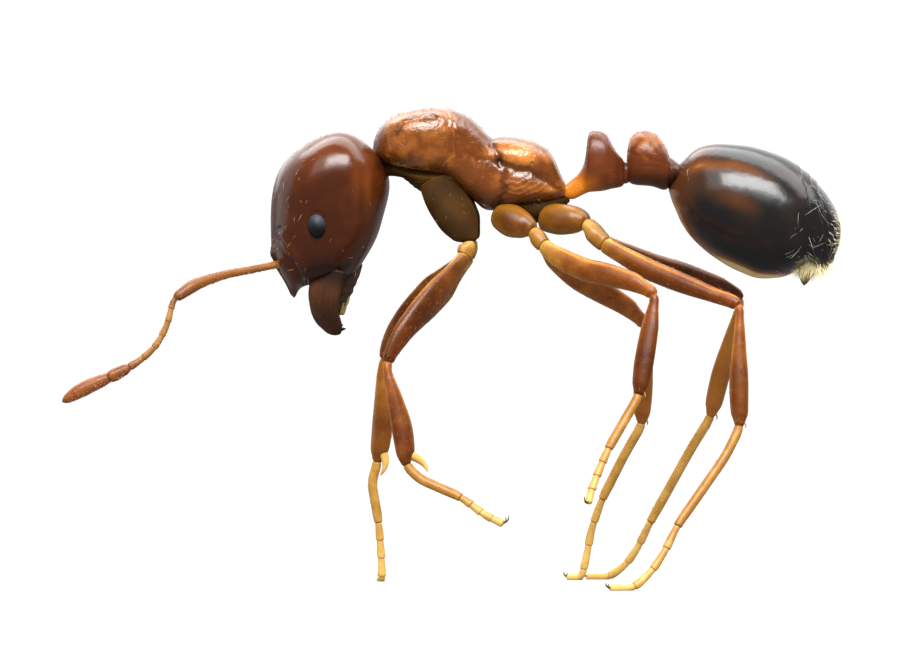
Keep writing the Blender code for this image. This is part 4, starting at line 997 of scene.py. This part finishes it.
# ---------------------------------------------------------------- trunk
def shoulder_and_back(trunk):
    """Seams, swollen plates, a breathing hole and ridges pressed into the trunk."""
    x, y, z = trunk.xyz()
    side = ease(np.abs(y), 0.05, 0.16)
    wx = x + 0.010 * np.sin(z * 41 + 1) + 0.006 * np.sin(z * 97 + x * 30)
    wz = z + 0.010 * np.sin(x * 37) + 0.006 * np.sin(x * 89 - z * 40)
    seam = line_distance(wx, wz, SHOULDER_LINE)
    rim, past = bell(seam, 0.009), bell(seam - 0.018, 0.012)
    collar = bell(line_distance(wx, wz, SHOULDER_HEM), 0.014)
    back = bell(line_distance(wx, wz, SADDLE_LINE), 0.026) * ease(z, 3.50, 3.62)
    trough, midline, brow, crease, lobe = (
        bell(line_distance(wx, wz, line), width) * side for line, width in
        ((SADDLE_TROUGH, 0.030), (FLANK_LINE, 0.026), (WING_LINE, 0.022), (SHOULDER_FOLD, 0.018),
         (SHOULDER_LOBE, 0.045)))
    front, rear, gland, ridged = (mound(x, z, MOUNDS[key]) * side for key in
                                  ("front", "rear", "gland", "ridged"))
    upper = mound(x, z, MOUNDS["upper"])
    ring = np.hypot(x - SPIRACLE[0], z - SPIRACLE[1])
    spiracle = (bell(ring - 0.016, 0.006) - 1.4 * bell(ring, 0.009)) * side
    ribs = np.sin((wz - 0.35 * wx) * 150 + 2 * np.sin(x * 23)) * ridged
    rough = np.sin(wx * 120 + 3 * np.sin(z * 50)) * np.sin(wz * 130 + 2 * np.sin(x * 40))
    trunk.push(-0.005 * crease + 0.012 * lobe - 0.006 * past + 0.004 * rim + 0.004 * collar
               - 0.016 * back - 0.018 * trough - 0.016 * midline - 0.007 * brow + 0.022 * front
               + 0.020 * rear + 0.022 * upper + 0.016 * gland + 0.006 * spiracle + 0.0032 * ribs
               + rough * (0.0042 * front + 0.0026 * upper + 0.0020 * rear + 0.0010 * ease(x, 0.0, -0.1)))
    # painted light and shade: the grooves (crease, back, trough, midline, brow) and the lower flank are
    # tinted darker as painted shade; the raised rim, lobe and collar, the crests of the ribs and rough
    # bumps, the swollen upper and rear plates and the top of the pronotum are tinted lighter as painted
    # highlights
    trunk.tell(tint=-0.3 * crease + 0.1 * lobe + 0.2 * rim + 0.25 * collar - 0.5 * back
               - 0.45 * trough - 0.4 * midline - 0.2 * brow + 0.3 * gland - 0.7 * bell(ring, 0.010)
               - 0.55 * ease(z, 3.32, 3.18) + 0.10 * ribs - 0.35 * ease(x, -0.52, -0.62)
               - 0.25 * front + 0.9 * upper + 0.3 * rear
               + 0.15 * ease(x, 0.05, -0.05) * ease(z, 3.5, 3.75) + 0.12 * rough * front,
               hairy=ease(z, 3.62, 3.72) * ease(x, -0.62, -0.5) + 0.25)


def trunk_skins():
    """One skin over the trunk, and the neck and the belly plates under it."""
    trunk = barrel(TRUNK_KEYS, *DETAIL["trunk"], power=3.0, blur=4.0)
    shoulder_and_back(trunk)
    neck = barrel(NECK_KEYS, *DETAIL["neck"], blur=4.0)
    x, y, z = neck.xyz()
    hem = bell(line_distance(x, z, NECK_LINE), 0.012)
    neck.push(0.010 * hem + 0.0025 * np.sin(z * 260 + 40 * x) - 0.012 * bell(y, 0.02))
    neck.tell(tint=-0.6 + 0.5 * hem, hairy=0.1)
    belly = barrel(BELLY_KEYS, *DETAIL["belly"], power=2.2)
    x, _, z = belly.xyz()
    belly.push(0.003 * np.sin(x * 110 + 2 * np.sin(z * 90)) * np.sin(z * 120))
    belly.tell(tint=-0.7)
    return [trunk, neck, belly]


def dress_trunk():
    """The trunk, and the dull plates under it."""
    skins = trunk_skins()
    plant("trunk_skin", skins[:1], chitin_trunk(), ["pronotum", "mesonotum", "propodeum"])
    plant("trunk_underside", skins[1:], chitin_hip(), ["propleuron"])
    grow("trunk_bristles", skins, GOLDEN, "trunk")


def petiole_skin():
    """The first knot: an upright scale on an amber stalk with a breathing hole."""
    skin = barrel(PETIOLE_KEYS, *DETAIL["petiole"], power=2.4, blur=2.0)
    x, y, z = skin.xyz()
    ring = np.hypot(x - STALK_SPIRACLE[0], z - STALK_SPIRACLE[1])
    skin.push(0.002 * bell(ring - 0.014, 0.006) - 0.003 * bell(ring, 0.009)
              - 0.010 * bell(x - 1.452, 0.014) - 0.004 * bell(np.abs(y), 0.02) * ease(z, 3.5, 3.7))
    return skin.tell(tint=0.08 * bell(z - 3.42, 0.12) + 1.15 * ease(x, 1.30, 1.00) * ease(z, 3.52, 3.30)
                     - 0.35 * ease(x, 1.33, 1.45) - 0.15 * ease(z, 3.5, 3.75),
                     hairy=0.5 * ease(z, 3.6, 3.75))


def postpetiole_skin():
    """The second knot: a round one with faint ribs down its sides."""
    skin = barrel(POSTPETIOLE_KEYS, *DETAIL["postpetiole"], power=2.2)
    x, y, z = skin.xyz()
    ribs = np.sin(z * 150 + 3 * x) * mound(x, z, MOUNDS["knot"])
    skin.push(0.001 * ribs - 0.012 * bell(x - 1.835, 0.016)
              - 0.003 * bell(z - 3.60 + 0.3 * (x - 1.6), 0.012) * ease(np.abs(y), 0.05, 0.15))
    # painted light and shade: the top is tinted lighter, the bottom and the groove at the rear end darker;
    # the streaks are its own tone
    return skin.tell(tint=-0.5 * ease(x, 1.80, 1.86) - 0.5 * ease(z, 3.50, 3.38) - 0.1
                     + 0.4 * ease(z, 3.58, 3.75)
                     + 0.12 * np.sin(x * 60 + 2 * np.sin(z * 40)) * ease(z, 3.5, 3.65),
                     hairy=0.8 * ease(z, 3.6, 3.72))


def dress_waist():
    """The two knots of the waist."""
    shell, front, rear = chitin_waist(), petiole_skin(), postpetiole_skin()
    plant("petiole_knot", [front], shell, ["petiole"])
    plant("postpetiole_knot", [rear], shell, ["postpetiole"])
    grow("waist_bristles", [front, rear], GOLDEN, "waist")


# ---------------------------------------------------------------- gaster
def gaster_skin():
    """The gaster: four back plates, each coming from under the one before, over belly plates."""
    skin = straight(GASTER_START, GASTER_AIM, GASTER_KEYS, *DETAIL["gaster"], power=2.06, blur=5.0)
    aim = unit(GASTER_AIM)
    place = (skin.grid - GASTER_START) @ aim
    up = np.cross(aim, (0, 1, 0))
    up = up if up[2] > 0 else -up
    rise = (skin.grid - GASTER_START) @ up
    step, hem = 0, 0
    for seam in GASTER_SEAMS:
        bowed = (seam - SEAM_SLANT * np.clip(rise, -0.1, 1) - 0.05 * (1 - ease(rise, -0.24, -0.20))
                 + 0.006 * np.sin(rise * 43 + 9 * seam) + 0.004 * np.sin(rise * 101 + 20 * seam))
        past = place - bowed
        step = step + np.where(past > 0, np.exp(-np.clip(past, 0, 1) / 0.07), 0)
        hem = hem + bell(np.minimum(past, 0) + 0.008, 0.012) * (past < 0.004)
    overlap = bell(rise + 0.34, 0.02) * ease(place, 0.15, 0.3)
    x, _, z = skin.xyz()
    skin.push(-0.008 * step - 0.002 * overlap + 0.002 * hem - 0.10 * mound(x, z, VENT))
    front = ease(place, 0.42, 0.08)
    # painted rim light: the lower outline as seen from the side is tinted olive and pale; the reddish arch
    # and the patch below it are painted glow
    edge = ease(np.abs(skin.facing()[..., 1]), 0.62, 0.20) * ease(rise, 0.0, -0.12)
    arch = (bell(rise - np.interp(place, *zip(*PAINTED_GLOW_ARCH_LINE)), 0.048) * ease(place, 0.92, 0.50)
            * ease(place, 0.06, 0.20))
    skin.tell(tint=0.28 * front + 0.75 * edge * ease(place, 1.1, 0.8)
              + 1.6 * edge * ease(rise, -0.31, -0.46) * ease(place, 0.55, 0.9) * ease(place, 1.42, 1.3)
              + 0.26 * mound(place, rise, PAINTED_GLOW_PATCH) + 0.52 * arch + 0.15 * ease(place, 1.47, 1.53),
              hairy=1.0 * ease(place, 1.06, 1.18) + 0.08 * ease(place, 0.28, 0.12))
    skin.lie = aim
    return skin


def sting_skin():
    """The sting in its folded, waxy sheath."""
    skin = limb(Route(STING_ROUTE), round_rows(STING_KEYS), 0, 2, *DETAIL["sting"], (0, 1, 0), blur=2.0)
    _, y, z = skin.xyz()
    skin.push(0.006 * np.sin(z * 120 + 3 * np.sin(y * 40)) * ease(z, 2.56, 2.62))
    return skin.tell(tint=ease(z, 2.60, 2.66) - 0.9 * ease(z, 2.60, 2.53))


def dress_gaster():
    """The gaster under its overlapping plates, the sting, and the pale tuft and fringe of the rear."""
    skin = gaster_skin()
    plant("gaster_skin", [skin], chitin_gaster(), ["gaster_%d" % n for n in (1, 2, 3, 4)])
    grow("gaster_bristles", [skin], PALE, "gaster")
    plant("sting_sheath", [sting_skin()], chitin_sting(), ["sting"])
    tuft = barrel(TUFT_KEYS, *DETAIL["tuft"], blur=1.0)
    tuft.tell(hairy=ease(tuft.grid[..., 2], 2.76, 2.73))
    tuft.lie = np.array((-0.3, 0, -1.0))
    grow("sting_tuft", [tuft], STRAW, "tuft")
    x, _, z = skin.xyz()
    skin.extra["hairy"] = ease(x, 3.13, 3.22) * ease(z, 3.25, 3.05) * ease(z, 2.76, 2.84)
    grow("gaster_fringe", [skin], STRAW, "fringe")


# ---------------------------------------------------------------- legs
def leg_table(name, pair, last):
    """Half thickness from the front, and reach to each side of the route, all down a leg."""
    hip, (above, below) = HIP_HALF, TROCHANTER_REACH[pair]
    trim = list(zip(*FEMUR_TRIM.get(name, [(0, 1.0), (1, 1.0)])))
    rows = list(COXA_KEYS[pair])
    rows += [(1.0, hip, hip, hip), (1.5, below * LIMB_FLATNESS, above, below),
             (2.0, hip, above * 0.92, below * 0.92)]
    rows += [(2 + share, half, over * np.interp(share, *trim), under)
             for share, half, over, under in FEMUR_KEYS[pair]]
    rows += [(3.0, KNEE_HALF * LIMB_FLATNESS, KNEE_HALF, KNEE_HALF)]
    rows += [(3 + share, *reach) for share, *reach in TIBIA_KEYS[pair]]
    rows += [(u, half * LIMB_FLATNESS, half, half) for u, half in
             ((4.0, ANKLE_HALF), (4.2, TARSUS_HALF * 1.05), (5.8, TARSUS_HALF),
              (TOES_START, TARSUS_HALF * 0.85), (last - 0.1, TOE_HALF), (last, TOE_HALF * 0.6))]
    return rows


def leg_skins(route, table, plane, tints, twist):
    """Hip, thigh and shin of one leg, each run a little way into the next joint."""
    skins = []
    for (first, last, rings), (tint, clear) in zip(LEG_JOINTS, tints):
        way = Vector(route.aim(route.run((first + last) / 2)))
        turned = Quaternion(way, twist) @ plane if first == 2 else plane
        skin = limb(route, table, first, last, rings, LEG_SIDES, turned, 0.012, 0.008, 0.035, 2.0,
                    SHIN_SWELL if first == 3 else None)
        share, turn = skin.share(), 2 * np.pi * np.arange(LEG_SIDES) / LEG_SIDES
        facet = np.cos(turn * 4 + 0.6) * ease(share, 0.1, 0.3) * ease(share, 0.95, 0.8)
        skin.push(0.0003 * facet * (first > 1) - 0.003 * bell(share - 0.955, 0.012))
        _, across, rise = np.moveaxis(skin.facing(), -1, 0)
        # painted rim light: edges as seen from the side, and faces turned up or down, are tinted lighter
        edge = ease(np.abs(across), 0.85, 0.25) + 0.5 * ease(rise, 0.3, 0.8) + 0.6 * ease(rise, -0.3, -0.9)
        # the thigh's base is lighter in its own tone; the thin light line along its upper edge is a painted
        # highlight
        thigh = 0.4 * ease(share, 0.25, 0.0) + 0.9 * bell(rise - 0.70, 0.09) * ease(share, 0.95, 0.8)
        skin.tell(tint=-0.4 * bell(share - 0.955, 0.014) - 0.15 * ease(share, 0.03, 0.0)
                  + tint + clear * edge + thigh * (first == 2), hairy=0.4 if first else 0.06)
        skin.lie = np.array(route.point(route.run(last))) - np.array(route.point(route.run(first)))
        skins.append(skin)
    return skins


def claw_and_spur_skins(route, plane, end, fore):
    """Two hooked claws at the tip, and the spur at the ankle, a broad comb on the fore legs."""
    tip, aim = np.array(route.point(end)), np.array(route.aim(end - 0.03))
    up = unit(np.array((0, 0, 1.0)) - aim * aim[2] * 0.6)
    skins = []
    for spread in (-plane, plane):
        point = tip + aim * 0.012 + spread * 0.030 + up * (0.075 if tip[2] > 0.1 else 0.045)
        skins.append(spike(tip - aim * 0.012 + spread * 0.006, point, CLAW_THICK, 0.002,
                           aim * 0.020 + spread * 0.004).tell(tint=-0.9))
    ankle, back = route.run(4.0), np.array(route.aim(route.run(4.3)))
    root = np.array(route.point(ankle - (0.09 if fore else 0.03)))
    inner = unit(np.cross(np.array(route.aim(ankle - 0.1)), plane))
    inner = inner if inner[0] > 0 else -inner
    length, thick, tint = FORE_SPUR if fore else SPUR
    skins.append(spike(root + inner * 0.045, root + inner * 0.075 + back * length, thick, 0.004,
                       inner * length * 0.20, 24).tell(tint=tint))
    return skins


def foot_skins(route, table, plane, last, fore, tint):
    """Trochanter, five foot joints, two claws and a spur."""
    plane = np.array(plane)
    rings, sides = DETAIL["trochanter"]
    skins = [limb(route, table, 1, 2, rings, sides, plane, 0.012, 0.012, 0.03)
             .tell(tint=(0.15 if fore else 0) + np.linspace(0.25, -0.35, rings)[:, None]),
             limb(route, table, 4, TOES_START, *DETAIL["heel"], plane, 0.012, 0.004, 0.02, swell=HEEL_SWELL)
             .tell(tint=tint)]
    start, end = route.run(TOES_START), route.run(last)
    for joint in range(TOE_JOINTS):
        a, b = (route.place(start + (end - start) * (joint + k) / TOE_JOINTS) for k in (0, 1))
        skins.append(limb(route, table, a, b, *DETAIL["toe"], plane, 0.008, 0.003, 0.012, swell=TOE_SWELL)
                     .tell(tint=tint + 0.15 + 0.1 * joint))
    for skin in skins:
        share = skin.share()
        skin.tell(tint=-0.3 * ease(share, 0.93, 0.99) - 0.15 * ease(share, 0.06, 0.0),
                  hairy=0.3 * ease(skin.grid[..., 2], 0.02, 0.08))
        skin.lie = np.array(route.aim((start + end) / 2))
    skins += claw_and_spur_skins(route, plane, end, fore)
    for skin in skins:
        skin.grid[..., 2] = np.maximum(skin.grid[..., 2], 0.0)
    return skins


def dress_legs():
    """Six legs: amber joints down to the ankle, and honey trochanters and feet."""
    shell, hip_shell, foot = chitin_leg(), chitin_hip(), chitin_foot()
    for name, points in LEG_ROUTES.items():
        route = Route(points)
        hip, knee, ankle = Vector(points[1]), Vector(points[3]), Vector(points[4])
        plane = (knee - hip).cross(ankle - knee).normalized()
        last, pair = len(points) - 1, name.split("_")[0]
        table = leg_table(name, pair, last)
        nodes = ["leg_%s_%s" % (name, part) for part in
                 ("coxa", "femur", "tibia", "trochanter", "basitarsus", "toes")]
        joints = leg_skins(route, table, plane, zip(LEG_TINTS[name], PAINTED_RIM_LIGHT[pair]), FEMUR_TWIST[pair])
        plant("leg_%s_hip" % name, joints[:1], hip_shell if pair == "fore" else shell, nodes[:1])
        plant("leg_%s_joints" % name, joints[1:], shell, nodes[1:3])
        toes = foot_skins(route, table, plane, last, pair == "fore", FAR_FOOT_PAINTED_LIGHT * name.endswith("right"))
        plant("foot_%s_joints" % name, toes, foot, nodes[3:])
        grow("leg_%s_bristles" % name, joints + toes, FINE, "leg")


# ---------------------------------------------------------------- studio
def soft_light(name, elevation, swing, width, depth, glare):
    """A softbox that faces the ant, from in front at an elevation in degrees, or from behind past 90.

    glare is its brightness, where one is that of white paper.
    """
    light = bpy.data.lights.new(name, "AREA")
    light.shape, light.size, light.size_y = "RECTANGLE", width, depth
    light.energy = glare * math.pi * width * depth
    lamp = bpy.data.objects.new(name, light)
    up, turn = math.radians(elevation), math.radians(swing)
    aim = Vector((math.sin(turn), -math.cos(up) * math.cos(turn), math.sin(up) * math.cos(turn)))
    lamp.location = Vector(LIGHT_MIDDLE) + aim * LIGHT_DISTANCE
    lamp.rotation_euler = (-aim).to_track_quat("-Z", "Y").to_euler()
    lamp.visible_camera = False
    bpy.context.scene.collection.objects.link(lamp)


def set_room():
    """A white room that shines less in the gloss, and the softboxes."""
    world = bpy.data.worlds.new("white_room")
    bpy.context.scene.world = world
    world.use_nodes = True
    tree = world.node_tree
    tree.nodes.clear()
    ray = add(tree, "ShaderNodeLightPath")
    level = add(tree, "ShaderNodeMapRange", {"Value": ray.outputs["Is Glossy Ray"], "To Min": ROOM_SHINE,
                                             "To Max": ROOM_SHINE_IN_GLOSS})
    room = add(tree, "ShaderNodeBackground", {"Color": (1, 1, 1, 1), "Strength": level.outputs["Result"]})
    add(tree, "ShaderNodeOutputWorld", {"Surface": room.outputs["Background"]})
    for softbox in SOFTBOXES:
        soft_light(*softbox)
    bpy.context.scene.view_settings.view_transform = "Standard"


def paint_floor():
    """Matt paint put on with a roller: a faint mottle and no shine, so only soft shadows show."""
    material, tree = blank("paint_floor_matt")
    place = add(tree, "ShaderNodeTexCoord").outputs["Object"]
    grain = add(tree, "ShaderNodeTexNoise", {"Vector": place, "Scale": PAINT_MOTTLE})
    tone = add(tree, "ShaderNodeValToRGB", {"Fac": grain.outputs["Fac"]},
               stops=[(0.3, "#868686"), (0.7, "#8a8a8a")])
    shader = add(tree, "ShaderNodeBsdfPrincipled", {"Base Color": tone.outputs["Color"], "Roughness": 1.0,
                                                    "Specular IOR Level": 0.0})
    add(tree, "ShaderNodeOutputMaterial", {"Surface": shader.outputs["BSDF"]})
    return material


def lay_floor():
    """A round pale floor that the shell's gloss doesn't mirror."""
    floor = bpy.data.meshes.new("floor")
    body = bmesh.new()
    bmesh.ops.create_circle(body, cap_ends=True, segments=FLOOR_SIDES, radius=FLOOR_RADIUS * MM)
    body.to_mesh(floor)
    body.free()
    floor.materials.append(paint_floor())
    stage = bpy.data.objects.new("floor", floor)
    bpy.context.scene.collection.objects.link(stage)
    stage.visible_glossy = False


def set_camera():
    """A long lens level with the back, so that near and far legs keep one size."""
    lens = bpy.data.cameras.new("long_lens")
    lens.lens, lens.sensor_width, lens.clip_start, lens.clip_end = LENS, SENSOR_WIDTH, 0.01, 10
    camera = bpy.data.objects.new("long_lens", lens)
    camera.location = CAMERA_PLACE
    aim = Vector(CAMERA_TARGET) - Vector(CAMERA_PLACE)
    camera.rotation_euler = aim.to_track_quat("-Z", "Y").to_euler()
    bpy.context.scene.collection.objects.link(camera)
    bpy.context.scene.camera = camera


COAT = bristle_tree()
GOLDEN = bristle("bristle_golden", "#5a3614", "#b89058")
FINE = bristle("bristle_fine", "#5a3a14", "#a07c40")
DOWN = bristle("bristle_down", "#8a5830", "#c89868")
PALE = bristle("bristle_pale", "#8a8478", "#e4dfd4")
STRAW = bristle("bristle_straw", "#c8b67c", "#fff4c8")
set_camera()
set_room()
lay_floor()
dress_head()
dress_feelers()
dress_trunk()
dress_waist()
dress_gaster()
dress_legs()
